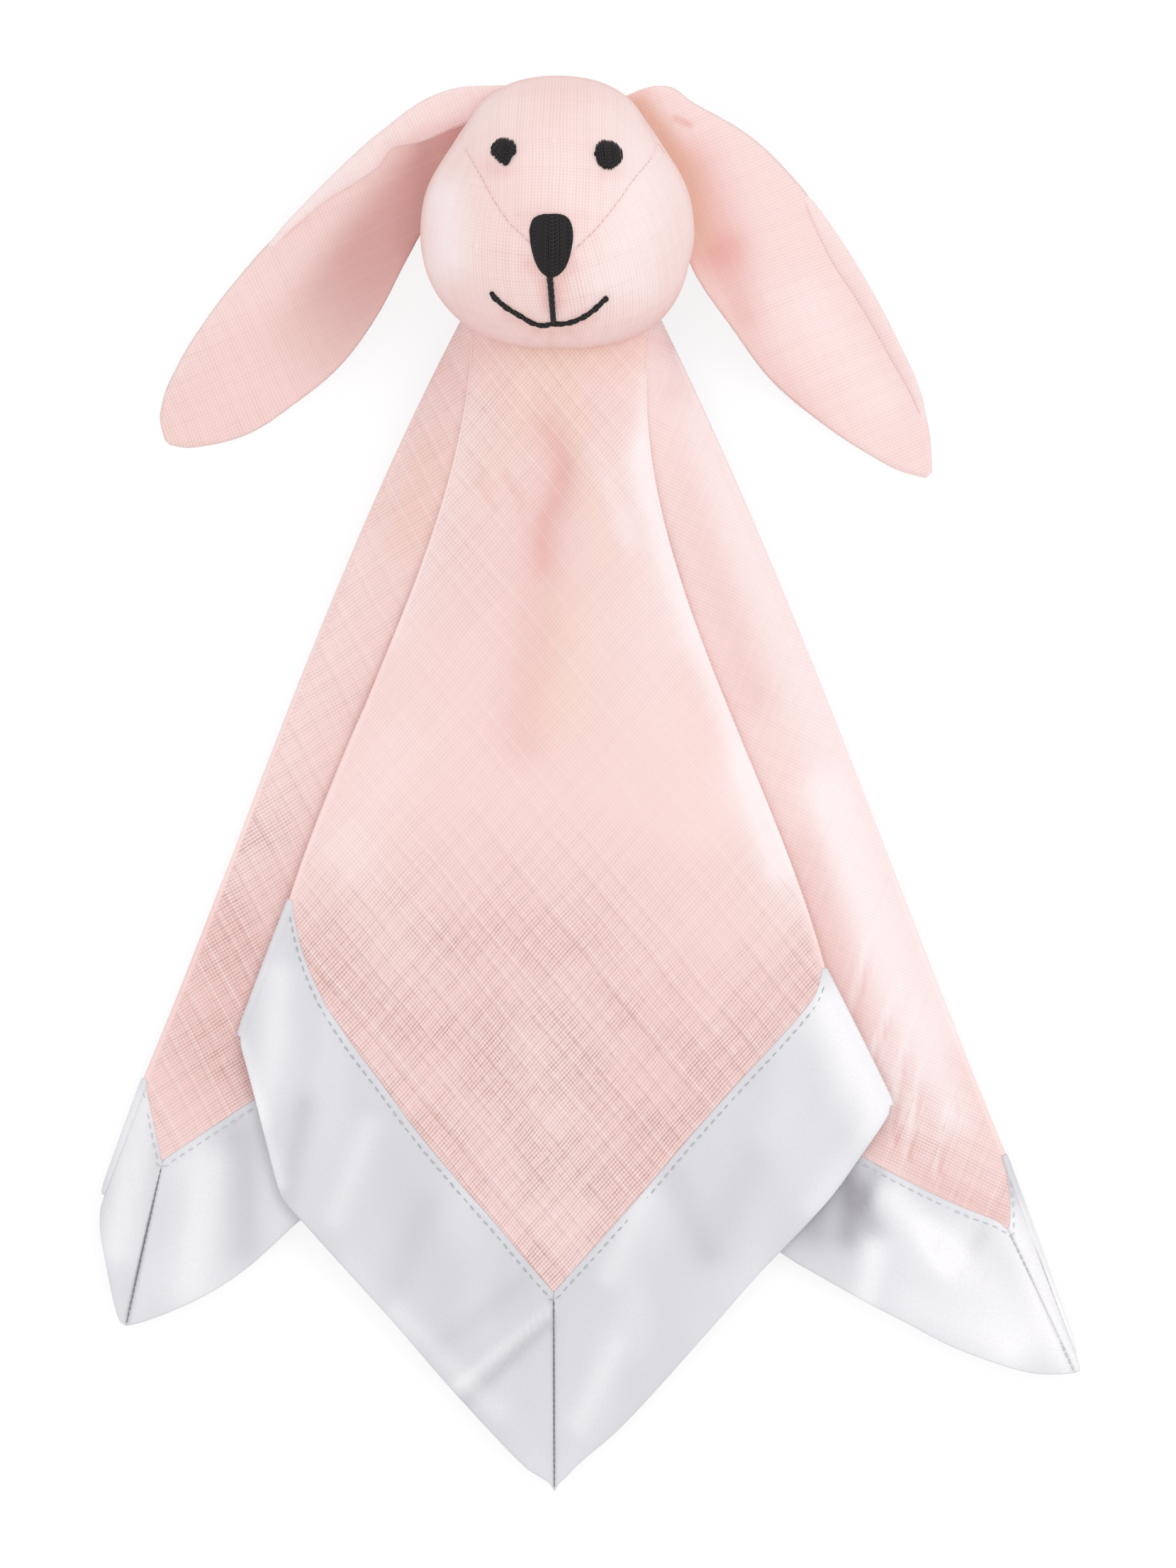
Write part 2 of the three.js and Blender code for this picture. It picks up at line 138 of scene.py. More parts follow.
# %% The light
WHITE = (1.0, 1.0, 1.0, 1.0)
world = bpy.data.worlds.new("white_room")
world.use_nodes = True
backdrop = world.node_tree.nodes["Background"]
backdrop.inputs["Color"].default_value = WHITE
backdrop.inputs["Strength"].default_value = 0.9
bpy.context.scene.world = world


def soft_lamp(name, place, size, power):
    """A round lamp that points at the middle of the model."""
    lamp_data = bpy.data.lights.new(name, "AREA")
    lamp_data.shape = "DISK"
    lamp_data.size = size
    lamp_data.energy = power
    lamp = put_in_scene(name, lamp_data)
    lamp.location = place
    lamp.rotation_euler = (-Vector(place)).to_track_quat("-Z", "Y").to_euler()


soft_lamp("window", (0.8, 0.6, 1.4), 0.8, 3.2)
soft_lamp("ceiling", (-0.35, -0.1, 1.9), 1.2, 1.8)
print("two lamps and a white world light the table")

# %% [markdown]
# Materials are built from nodes. A recipe makes the nodes, and a socket stands for one output of a node:
# adding or multiplying sockets puts Math nodes between them, so a recipe reads like a sum. Screen colours
# are turned into Blender's linear colours first.

# %% Helpers for materials
TURN = 2.0 * math.pi


def linear(red, green, blue):
    """A screen colour, 0 to 255, as Blender's linear colour."""
    parts = []
    for value in (red, green, blue):
        share = value / 255.0
        parts.append(share / 12.92 if share <= 0.04045 else ((share + 0.055) / 1.055) ** 2.4)
    return (*parts, 1.0)


class Socket:
    """One output of a node. Arithmetic with sockets and numbers makes Math nodes."""

    def __init__(self, recipe, node, output=0):
        self.recipe = recipe
        self.output = node.outputs[output]

    def __add__(self, other):
        return self.recipe.maths("ADD", self, other)

    def __mul__(self, other):
        return self.recipe.maths("MULTIPLY", self, other)

    def __sub__(self, other):
        return self.recipe.maths("SUBTRACT", self, other)

    def __rsub__(self, other):
        return self.recipe.maths("SUBTRACT", other, self)

    def __truediv__(self, other):
        return self.recipe.maths("DIVIDE", self, other)


class Recipe:
    """A material and the nodes that it is made from. An entry takes a socket or a plain value."""

    def __init__(self, name):
        self.material = bpy.data.materials.new(name)
        self.material.use_nodes = True
        self.tree = self.material.node_tree
        self.surface = self.tree.nodes["Principled BSDF"]

    def feed(self, node, entries):
        for key, part in entries.items():
            if isinstance(part, Socket):
                self.tree.links.new(part.output, node.inputs[key])
            else:
                node.inputs[key].default_value = part

    def node(self, kind, entries=None, **settings):
        made = self.tree.nodes.new(kind)
        for key, value in settings.items():
            setattr(made, key, value)
        self.feed(made, entries or {})
        return made

    def maths(self, operation, *parts):
        return Socket(self, self.node("ShaderNodeMath", dict(enumerate(parts)), operation=operation))

    def threads(self):
        """The place on the piece's own map, in millimetres along its threads."""
        return Socket(self, self.node("ShaderNodeUVMap", uv_map="threads"))

    def carried(self, name, output):
        """A value that the points of the mesh carry."""
        return Socket(self, self.node("ShaderNodeAttribute", attribute_name=name), output)

    def split(self, vector):
        made = self.node("ShaderNodeSeparateXYZ", {0: vector})
        return [Socket(self, made, number) for number in range(3)]

    def noise(self, place, scale, detail, roughness=0.5):
        entries = {"Vector": place, "Scale": scale, "Detail": detail, "Roughness": roughness}
        return Socket(self, self.node("ShaderNodeTexNoise", entries))

    def ramp(self, source, low, high, out_low=0.0, out_high=1.0):
        """Maps low..high smoothly onto out_low..out_high."""
        entries = {"Value": source, "From Min": low, "From Max": high, "To Min": out_low, "To Max": out_high}
        return Socket(self, self.node("ShaderNodeMapRange", entries, interpolation_type="SMOOTHSTEP"))

    def mix(self, share, first, second):
        """A mix of two colours, which are the node's entries 6 and 7."""
        made = self.node("ShaderNodeMix", {"Factor": share, 6: first, 7: second}, data_type="RGBA")
        return Socket(self, made, 2)

    def bump(self, height, distance, strength, under=None):
        """A normal from a height. distance is in metres; under is the normal of the coarser bumps."""
        made = self.node("ShaderNodeBump", {"Height": height, "Distance": distance, "Strength": strength})
        if under is not None:
            self.feed(made, {"Normal": under})
        return Socket(self, made)

    def finish(self, colour, normal=None, roughness=0.8, sheen=0.0, sheen_roughness=0.5, specular=0.5,
               anisotropic=0.0):
        self.feed(self.surface, {
            "Base Color": colour, "Roughness": roughness, "Sheen Weight": sheen,
            "Sheen Roughness": sheen_roughness, "Specular IOR Level": specular, "Anisotropic": anisotropic,
        })
        if normal is not None:
            self.feed(self.surface, {"Normal": normal})
        return self.material


# %% The table
TABLE_GLOW = 0.78
TABLE_REACH = 6.0
table_recipe = Recipe("white_table")
rays = table_recipe.node("ShaderNodeLightPath")
camera_ray, glossy_ray, clear_ray = [
    Socket(table_recipe, rays, kind) for kind in ("Is Camera Ray", "Is Glossy Ray", "Is Transmission Ray")
]
seen = table_recipe.maths("MAXIMUM", table_recipe.maths("MAXIMUM", camera_ray, glossy_ray), clear_ray)
table_colour = table_recipe.mix(seen, linear(242, 242, 243), linear(140, 140, 141))
table_recipe.finish(table_colour, roughness=0.95, specular=0.1)
table_recipe.feed(table_recipe.surface, {"Emission Color": WHITE, "Emission Strength": seen * TABLE_GLOW})
table_mesh = bpy.data.meshes.new("table")
corners = [(x * TABLE_REACH, y * TABLE_REACH, 0.0) for x, y in ((-1, -1), (1, -1), (1, 1), (-1, 1))]
table_mesh.from_pydata(corners, [], [(0, 1, 2, 3)])
table_mesh.materials.append(table_recipe.material)
table = put_in_scene("table", table_mesh)
print("the table reaches", TABLE_REACH, "m each way")

# %% [markdown]
# ## The cloths
#
# Muslin is a loose plain weave. Seen close, each thread is a little ridge, the threads wander so that some
# patches look open and darker, and thick slub threads cross here and there. The pattern is drawn on the
# cloth's own UV map, which is measured in millimetres along the two thread directions, so it turns with
# the cloth on every pleat. Noise in one direction only makes each thread its own thickness.

# %% Muslin
# Colours of painted light and shade: a pink shade, a deeper pink shade, a creamy shade and a tan shade beside
# the head, and a near-white painted highlight that the slub threads share.
PINK_SHADE = linear(233, 168, 160)
DEEP_PINK_SHADE = linear(212, 156, 152)
CREAM_SHADE = linear(250, 222, 203)
PALE_SLUBS_AND_HIGHLIGHT = linear(255, 242, 242)
TAN_SHADE = linear(230, 182, 162)
SHADE = linear(194, 144, 138)
THREAD_PITCH = 0.75
PANE = 4.4


def thread_noise(recipe, across, pitch, seed):
    """Noise that changes only across the threads, so every thread keeps its value."""
    entries = {"W": across / pitch + seed, "Scale": 1.0, "Detail": 0.0}
    return Socket(recipe, recipe.node("ShaderNodeTexNoise", entries, noise_dimensions="1D"))


def dashes(recipe, across, along, pitch, length, seed):
    """Every gap between two threads has its own pattern of dark dashes along its length."""
    row = recipe.maths("FLOOR", across / pitch) * 3.7
    place = recipe.node("ShaderNodeCombineXYZ", {0: along / length, 1: row, 2: seed})
    return recipe.ramp(recipe.noise(Socket(recipe, place), 1.0, 1.0), 0.42, 0.66)


def wave(recipe, turns):
    """Rises and falls between 0 and 1, once in every turn."""
    return recipe.maths("SINE", turns * TURN) * 0.5 + 0.5


def muslin(name, thread_colour, gap_colour, open_share=1.0, slubs=1.0, pink_shade=PINK_SHADE, cream_shade=CREAM_SHADE):
    """Gauze. The piece carries its painted shade and highlight in tone, and in sparse how open its weave is.
    """
    recipe = Recipe(name)
    places = recipe.threads()
    first, second, _ = recipe.split(places)
    drift = (recipe.noise(places, 0.04, 1.0) - 0.5) * 2.2
    warp = first + drift
    weft = second - drift
    loose = recipe.ramp(recipe.noise(places, 0.07, 1.0), 0.36, 0.64, 0.65, 1.0)
    sparse = recipe.carried("sparse", "Fac")
    openness = loose * sparse * open_share
    ridges = []
    marks = []
    for across, along, share, seed in ((warp, weft, 1.0, 3.1), (weft, warp, 0.5, 57.7)):
        ridge = wave(recipe, across / THREAD_PITCH)
        ridges.append(ridge)
        dash = dashes(recipe, across, along, THREAD_PITCH, 1.9, seed) * openness * 0.22
        uneven = recipe.ramp(thread_noise(recipe, across, 1.9, seed + 21.0), 0.3, 0.7, 0.6, 1.0)
        marks.append((1.0 - ridge) * share * (dash + uneven * 0.68))
    colour = thread_colour
    # Painted light: the points carry shares of a pink shade, a creamy shade and a painted highlight, mixed
    # over the thread colour.
    shares = recipe.split(recipe.carried("tone", "Vector"))
    for share, other in zip(shares, (pink_shade, cream_shade, PALE_SLUBS_AND_HIGHLIGHT)):
        colour = recipe.mix(share, colour, other)
    strength = openness * 0.38 + recipe.maths("MINIMUM", sparse * 4.0, 0.48)
    tint = (marks[0] + marks[1]) * strength * recipe.ramp(shares[2], 0.1, 1.0, 1.0, 0.35)
    step = weft * (TURN / PANE) + thread_noise(recipe, weft, 9.0, 5.0) * 5.0
    slub = recipe.ramp(recipe.maths("SINE", step), 0.9, 0.99)
    colour = recipe.mix(slub * (openness * 0.42 + 0.08) * slubs, colour, PALE_SLUBS_AND_HIGHLIGHT)
    dotted = dashes(recipe, step + math.pi, warp, TURN, 1.5, 91.3) * 0.65 + 0.35
    pulled = recipe.ramp(recipe.maths("COSINE", step), 0.9, 0.985) * dotted * openness * 0.38
    deep = recipe.mix(openness, recipe.mix(0.5, colour, gap_colour), gap_colour)
    colour = recipe.mix(tint, colour, deep)
    colour = recipe.mix(pulled, colour, gap_colour)
    under = recipe.bump(recipe.noise(places, 0.3, 2.0), 0.0007, 0.3)
    normal = recipe.bump(ridges[0] * 0.6 + ridges[1] * 0.4, 0.0001, 0.7, under)
    return recipe.finish(colour, normal, roughness=0.92, sheen=0.2, sheen_roughness=0.55, specular=0.15)


muslin_pink = muslin("muslin_pink", linear(251, 221, 217), linear(196, 152, 147))
muslin_face = muslin("muslin_face", linear(251, 225, 221), linear(206, 156, 149), 0.6, 0.35)
muslin_ear = muslin("muslin_ear", linear(252, 226, 223), linear(210, 160, 153), 0.5, 0.4, PINK_SHADE, TAN_SHADE)
# The left ear's lining: a slightly darker copy with deeper painted shade colours, for the shade in its
# hollow.
muslin_lining = muslin("muslin_lining", linear(250, 219, 214), linear(200, 152, 147), 0.5, 0.25,
                       DEEP_PINK_SHADE, SHADE)
print("four muslins are mixed")

# %% [markdown]
# Satin is woven so that long floats of thread lie side by side. It is smooth and bright, with a broad
# highlight that stretches across the threads. The weave itself is almost too fine to see, so a faint
# diagonal twill is enough, with slow ripples under it that break the highlight up.

# %% Satin
TWILL_PITCH = 0.42
satin_recipe = Recipe("satin_white")
satin_places = satin_recipe.threads()
satin_along, satin_across, _ = satin_recipe.split(satin_places)
twill = satin_recipe.maths("SINE", (satin_along + satin_across * 0.6) * (TURN / TWILL_PITCH))
ripple = satin_recipe.noise(satin_places, 0.04, 1.0, 0.4)
grain = satin_recipe.noise(satin_places, 1.9, 2.0, 0.7)
slow = satin_recipe.bump(ripple, 0.003, 0.35)
crisp = satin_recipe.bump(grain, 0.00008, 0.5, slow)
satin_normal = satin_recipe.bump(twill, 0.00002, 0.5, crisp)
satin_shade_and_highlight = satin_recipe.split(satin_recipe.carried("tone", "Vector"))
satin_colour = linear(220, 219, 224)
# The points carry painted shade (the first share) and painted highlights (the third); the ripples and the
# grain vary the colour at random.
for share, other in (
    (satin_recipe.ramp(ripple, 0.35, 0.68), linear(229, 228, 233)),
    (satin_shade_and_highlight[0], linear(168, 166, 171)),
    (satin_shade_and_highlight[2], linear(255, 253, 255)),
    (satin_recipe.ramp(grain, 0.3, 0.75, 0.0, 0.16), linear(196, 195, 200)),
):
    satin_colour = satin_recipe.mix(share, satin_colour, other)
satin_white = satin_recipe.finish(
    satin_colour, satin_normal, roughness=0.36, sheen=0.2, sheen_roughness=0.3, specular=0.35,
    anisotropic=0.5,
)
print("satin is mixed")

# %% [markdown]
# Thread needs a twist: a tube with slanting stripes in its bump reads as two or three strands laid
# together. One recipe serves the grey topstitching, the pink seam threads and the black embroidery yarn.

# %% Thread


def thread(name, colour, dark_colour, roughness=0.7, sheen=0.2, twist=0.35):
    """Twisted thread. twist is the length of one turn in millimetres."""
    recipe = Recipe(name)
    places = recipe.threads()
    along, around, _ = recipe.split(places)
    strand = wave(recipe, along / twist + around)
    # The colour is darker in the grooves between the strands, a painted shade, and also varies at random
    # along the thread.
    tint = recipe.mix(strand * recipe.noise(places, 6.0, 2.0), dark_colour, colour)
    normal = recipe.bump(strand, 0.00006, 0.7)
    return recipe.finish(tint, normal, roughness=roughness, sheen=sheen, specular=0.3)


thread_grey = thread("thread_grey", linear(206, 212, 212), linear(166, 176, 177))
thread_pale = thread("thread_pale", linear(228, 231, 232), linear(200, 206, 208))
thread_dark = thread("thread_dark", linear(150, 156, 158), linear(104, 111, 114))
thread_pink = thread("thread_pink", linear(226, 172, 164), linear(198, 140, 132))
thread_skin = thread("thread_skin", linear(238, 200, 194), linear(224, 178, 171))
thread_black = thread("thread_black", linear(62, 56, 55), linear(9, 8, 8), 0.6, 0.04, 0.9)
print("threads are mixed")

# %% [markdown]
# ## How the pieces are put together
#
# Every cloth here is a grid of points: one direction runs round the neck, the other from the neck to the
# edge. A helper turns such a grid into a mesh with a UV map in millimetres. Another one attaches a piece to
# the body it moves with and hides the CAD solids that it stands for.

# %% Helpers for pieces


def mesh_from(name, points, faces, corner_uv, material):
    """A smooth mesh. corner_uv holds one row for each corner of each face, in millimetres."""
    mesh = bpy.data.meshes.new(name)
    mesh.from_pydata([tuple(p) for p in points], [], [tuple(f) for f in faces])
    layer = mesh.uv_layers.new(name="threads")
    layer.data.foreach_set("uv", np.asarray(corner_uv, np.float32).ravel())
    mesh.materials.append(material)
    mesh.polygons.foreach_set("use_smooth", [True] * len(mesh.polygons))
    mesh.update()
    return mesh


def piece_from(name, points, faces, corner_uv, material):
    """A piece whose points are in millimetres from the neck."""
    return put_in_scene(name, mesh_from(name, to_metres(points), faces, corner_uv, material))


def face_outwards(mesh):
    bm = bmesh.new()
    bm.from_mesh(mesh)
    bmesh.ops.recalc_face_normals(bm, faces=bm.faces[:])
    bm.to_mesh(mesh)
    bm.free()


def grid_faces(rows, columns):
    """Four-cornered faces of a grid that is stored row by row."""
    first = (np.arange(rows - 1)[:, None] * columns + np.arange(columns - 1)[None, :]).ravel()
    return np.stack([first, first + 1, first + columns + 1, first + columns], axis=1)


def thicken(piece, thickness_mm, offset=0.0):
    """Gives a piece its thickness: offset is 0 for both ways, -1 for inwards."""
    solid = piece.modifiers.new("thickness", "SOLIDIFY")
    solid.thickness = thickness_mm / 1000.0
    solid.offset = offset
    solid.use_even_offset = False


def result_of(piece):
    """The plain mesh that a piece has after its modifiers."""
    return bpy.data.meshes.new_from_object(piece.evaluated_get(bpy.context.evaluated_depsgraph_get()))


def bake(piece):
    """Turns a piece with its modifiers into a plain mesh, with crisp edges where it is cut off."""
    plain = result_of(piece)
    piece.modifiers.clear()
    piece.data = plain
    piece.data.set_sharp_from_angle(angle=0.9)


def carry(piece, tones, sparse=None):
    """Stores the painted shade and highlight shares for each point of a piece, and how open its weave is."""
    layers = [("tone", "FLOAT_VECTOR", "vector", tones), ("sparse", "FLOAT", "value", sparse)]
    for name, kind, entry, values in layers:
        if values is not None:
            layer = piece.data.attributes.new(name, kind, "POINT")
            layer.data.foreach_set(entry, np.asarray(values, np.float32).ravel())


def belongs(piece, body, slot_name, *nodes):
    """Attaches a piece to the body it rides on and hides the CAD solids that it stands for. Its finish,
    slot_name, is not used.
    """
    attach(piece, body)
    if nodes:
        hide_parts(*nodes)
    print(piece.name, "has", len(piece.data.polygons), "faces")


# %% Helpers for shapes and tones


def smoothstep(value, low, high):
    share = np.clip((np.asarray(value, float) - low) / (high - low), 0.0, 1.0)
    return share * share * (3.0 - 2.0 * share)


def hermite(a, b, slope_a, slope_b, t):
    """A smooth step from a to b. The slopes at its ends are measured over the whole step."""
    return (a * (2 * t**3 - 3 * t**2 + 1) + slope_a * (t**3 - 2 * t**2 + t)
            + b * (3 * t**2 - 2 * t**3) + slope_b * (t**3 - t**2))


def arc_lengths(line):
    """How far along a line of points each point lies."""
    return np.concatenate([[0.0], np.cumsum(np.linalg.norm(np.diff(line, axis=0), axis=1))])


def near_line(x, y, pixels, width, place=cloth_xy):
    """1 on a line through picture points, falling off smoothly at its width in millimetres."""
    nearest = np.full(x.shape, 1e9)
    spots = [np.array(place(*p)) for p in pixels]
    for a, b in zip(spots[:-1], spots[1:]):
        line = b - a
        t = np.clip(((x - a[0]) * line[0] + (y - a[1]) * line[1]) / float(line @ line), 0.0, 1.0)
        nearest = np.minimum(nearest, np.hypot(x - a[0] - t * line[0], y - a[1] - t * line[1]))
    return np.exp(-((nearest / width) ** 2))


def painted(x, y, strokes, place=cloth_xy):
    """The sum of soft strokes: each has its picture points, its half width in mm and its strength."""
    return sum(strength * near_line(x, y, pixels, width, place) for pixels, width, strength in strokes)


# %% [markdown]
# ## The folded blanket
#
# Muslin and border are folded together, so they share one description. Going round from the front corner,
# each side of the blanket runs out to the fold at the front, back in under it to a hidden turn, out again
# to the side corner, round the outer fold, and then in a second pleat underneath to the back corner.
# A row of the table holds one line across the cloth: its point on the seam, the point on the outer edge
# that faces it, its place along the gathered neck, the height it lies at, and how far the line bows
# sideways. The points that show are taken from the picture, in its pixels, and the hidden ones follow from
# the length of a 406 mm edge.

# %% The lines across the cloth
FRONT = 0
SIDE = 1
BACK = 2

left_panels = [
    ("front", FRONT, [
        (781, 1823, 782, 2103, 0.00, 8.3, 0), (778, 1820, 776, 2093, -0.005, 8.3, 0),
        (772, 1813, 766, 2086, -0.01, 8.3, 0), (764, 1804, 744, 2072, -0.03, 8.3, 1),
        (740, 1776, 700, 2028, -0.06, 8.3, 3), (702, 1730, 627, 1948, -0.14, 8.3, 7),
        (644, 1664, 558, 1868, -0.26, 8.3, 12), (587, 1595, 490, 1793, -0.39, 8.3, 17),
        (534, 1523, 428, 1724, -0.52, 8.3, 22), (500, 1478, 400, 1692, -0.60, 8.3, 26),
        (486, 1458, 391, 1670, -0.64, 8.3, 28), (455, 1410, 374, 1605, -0.73, 8.3, 32),
        (427, 1345, 354, 1527, -0.82, 8.0, 36), (409, 1269, 336, 1461, -0.90, 7.4, 40),
    ]),
    ("pleat_in", SIDE, [
        (409, 1269, 336, 1461, -0.90, 6.6, 40), (560, 1360, 500, 1545, -0.45, 7.0, 18),
        (740, 1450, 700, 1640, -0.05, 7.2, 5), (893, 1515, 930, 1720, 0.28, 7.2, 0),
    ]),
    ("wing", SIDE, [
        (893, 1515, 930, 1720, 0.28, 6.2, 0), (700, 1522, 720, 1716, -0.20, 6.2, 0),
        (540, 1510, 560, 1705, -0.60, 5.9, 8), (455, 1500, 470, 1690, -0.75, 5.6, 12),
        (410, 1524, 422, 1722, -0.82, 5.4, 10), (363, 1549, 355, 1783, -0.87, 5.1, 6),
        (315, 1580, 300, 1821, -0.91, 4.8, 2), (270, 1610, 245, 1848, -0.945, 4.5, -2),
        (237, 1632, 196, 1866, -0.965, 4.3, -5), (228, 1638, 174, 1869, -0.97, 4.3, -6),
        (226, 1628, 164, 1850, -0.975, 4.25, -6), (219, 1598, 149, 1780, -0.985, 4.2, -12),
        (211, 1560, 141, 1730, -0.99, 4.1, -15), (203, 1522, 144, 1684, -1.0, 4.0, -17),
    ]),
    ("under_out", BACK, [
        (203, 1522, 144, 1684, -1.0, 2.9, -17), (380, 1497, 345, 1675, -0.75, 2.9, 0),
        (560, 1471, 550, 1655, -0.45, 2.9, 0), (740, 1445, 752, 1640, -0.12, 2.9, 0),
    ]),
    ("under_in", BACK, [
        (740, 1445, 752, 1640, -0.12, 1.85, 0), (560, 1435, 535, 1638, -0.4, 1.85, 0),
        (375, 1415, 303, 1634, -0.72, 1.85, 0),
    ]),
    ("back", BACK, [
        (375, 1415, 303, 1634, -0.72, 0.75, 0), (509, 1526, 468, 1755, -0.5, 0.75, 0),
        (648, 1639, 624, 1890, -0.28, 0.75, 0), (782, 1750, 782, 2030, 0.0, 0.75, 0),
    ]),
]

right_panels = [
    ("front", FRONT, [
        (781, 1823, 782, 2103, 0.00, 8.3, 0), (785, 1819, 789, 2092, 0.005, 8.3, 0),
        (791, 1812, 798, 2084, 0.015, 8.3, -1), (800, 1802, 815, 2066, 0.035, 8.3, -2),
        (837, 1761, 877, 2012, 0.12, 8.3, -8), (913, 1675, 990, 1888, 0.29, 8.3, -18),
        (974, 1603, 1066, 1801, 0.45, 8.3, -28), (1041, 1528, 1132, 1733, 0.60, 8.3, -38),
        (1092, 1473, 1176, 1684, 0.73, 8.2, -46), (1127, 1434, 1214, 1631, 0.82, 8.1, -52),
        (1150, 1403, 1247, 1583, 0.88, 7.8, -57), (1163, 1366, 1259, 1559, 0.92, 7.3, -60),
    ]),
    ("pleat_in", SIDE, [
        (1163, 1366, 1259, 1559, 0.92, 6.5, -60), (1010, 1440, 1060, 1640, 0.55, 6.0, -20),
        (850, 1500, 860, 1700, 0.15, 5.2, -5), (690, 1540, 640, 1740, -0.3, 5.2, 0),
    ]),
    ("wing", SIDE, [
        (690, 1540, 640, 1740, -0.3, 4.15, 0), (850, 1560, 850, 1755, 0.1, 4.15, 0),
        (1000, 1570, 980, 1760, 0.42, 4.6, 2), (1120, 1590, 1060, 1745, 0.62, 5.1, 4),
        (1165, 1610, 1130, 1785, 0.69, 5.1, 6), (1214, 1631, 1219, 1835, 0.76, 5.0, 8),
        (1266, 1659, 1279, 1866, 0.82, 4.8, 9), (1312, 1682, 1340, 1898, 0.87, 4.6, 10),
        (1359, 1704, 1412, 1925, 0.92, 4.4, 11), (1405, 1722, 1466, 1938, 0.955, 4.3, 12),
        (1423, 1734, 1520, 1936, 0.97, 4.2, 12), (1426, 1718, 1523, 1930, 0.98, 4.15, 13),
        (1424, 1680, 1521, 1922, 0.99, 4.1, 13), (1418, 1629, 1518, 1908, 1.0, 4.0, 14),
    ]),
    ("under_out", BACK, [
        (1418, 1629, 1518, 1908, 1.0, 2.9, 14), (1280, 1560, 1340, 1775, 0.8, 2.9, 0),
        (1060, 1500, 1060, 1700, 0.5, 2.9, 0), (840, 1445, 830, 1640, 0.15, 2.9, 0),
    ]),
    ("under_in", BACK, [
        (840, 1445, 830, 1640, 0.15, 1.85, 0), (1015, 1435, 1045, 1638, 0.4, 1.85, 0),
        (1195, 1415, 1263, 1632, 0.72, 1.85, 0),
    ]),
    ("back", BACK, [
        (1195, 1415, 1263, 1632, 0.72, 0.75, 0), (1059, 1526, 1103, 1756, 0.5, 0.75, 0),
        (919, 1639, 943, 1890, 0.28, 0.75, 0), (782, 1750, 782, 2030, 0.0, 0.75, 0),
    ]),
]
BAND_WIDTH = 31.0
NECK_HALF_WIDTH = 22.4
NECK_MIDDLE = 1.4
NECK_SEEN = (792.0, 144.0)
FOLD_INSET = 3.2
BOW_PEAK = 4.0 / 27.0


def curve_through(rows, shares):
    """A smooth line through the rows, read at shares of its length."""
    rows = np.asarray(rows, float)
    steps = np.hypot(*(rows[1:, 0:2] - rows[:-1, 0:2]).T) + np.hypot(*(rows[1:, 2:4] - rows[:-1, 2:4]).T)
    knots = np.concatenate([[0.0], np.cumsum(steps)])
    slopes = np.zeros_like(rows)
    slopes[1:-1] = (rows[2:] - rows[:-2]) / (knots[2:] - knots[:-2])[:, None]
    slopes[0] = (rows[1] - rows[0]) / steps[0]
    slopes[-1] = (rows[-1] - rows[-2]) / steps[-1]
    at = np.asarray(shares, float) * knots[-1]
    which = np.clip(np.searchsorted(knots, at, side="right") - 1, 0, len(rows) - 2)
    width = steps[which][:, None]
    t = (at - knots[which])[:, None] / width
    return hermite(rows[which], rows[which + 1], slopes[which] * width, slopes[which + 1] * width, t)


def smooth_line(points, count):
    """A smooth line through picture points, as many points as asked."""
    rows = np.array([[p[0], p[1], p[0], p[1]] for p in points], float)
    return curve_through(rows, np.linspace(0.0, 1.0, count))[:, 0:2]


def edge_length(rows):
    rows = np.asarray(rows, float)
    outer = np.hypot(*(rows[1:, 2:4] - rows[:-1, 2:4]).T).sum()
    return outer * CLOTH_SCALE


for side_name, panels in (("left", left_panels), ("right", right_panels)):
    total = sum(edge_length(rows) for _, _, rows in panels)
    print(side_name, "edge from front corner to back corner:", round(total), "mm")

# %% [markdown]
# Each panel gives a run of lines, a few millimetres apart. Where two panels meet there is a fold, and
# the cloth has to turn round in a small half circle instead of a knife edge: those lines carry an angle,
# which goes from the upper panel, through the tip of the fold, to the lower one.

# %% Columns of cloth


def crowded(first, last, count, at_start):
    """Shares from first to last, closer together at the start where the corner needs it."""
    plain = np.linspace(0.0, 1.0, count)
    if at_start:
        plain = plain - 0.13 * np.sin(math.pi * plain) * (1.0 - plain)
    return first + (last - first) * plain


Column = collections.namedtuple("Column", "row upper lower top bottom turn owner inward")


def at_fold(column):
    """True for the lines that go round a fold. They belong to two layers."""
    return column.turn != 0.0 or column.top != column.bottom


def good_side(column):
    """The good side of a panel points up on every second layer."""
    return 1.0 if column.owner % 2 == 0 else -1.0


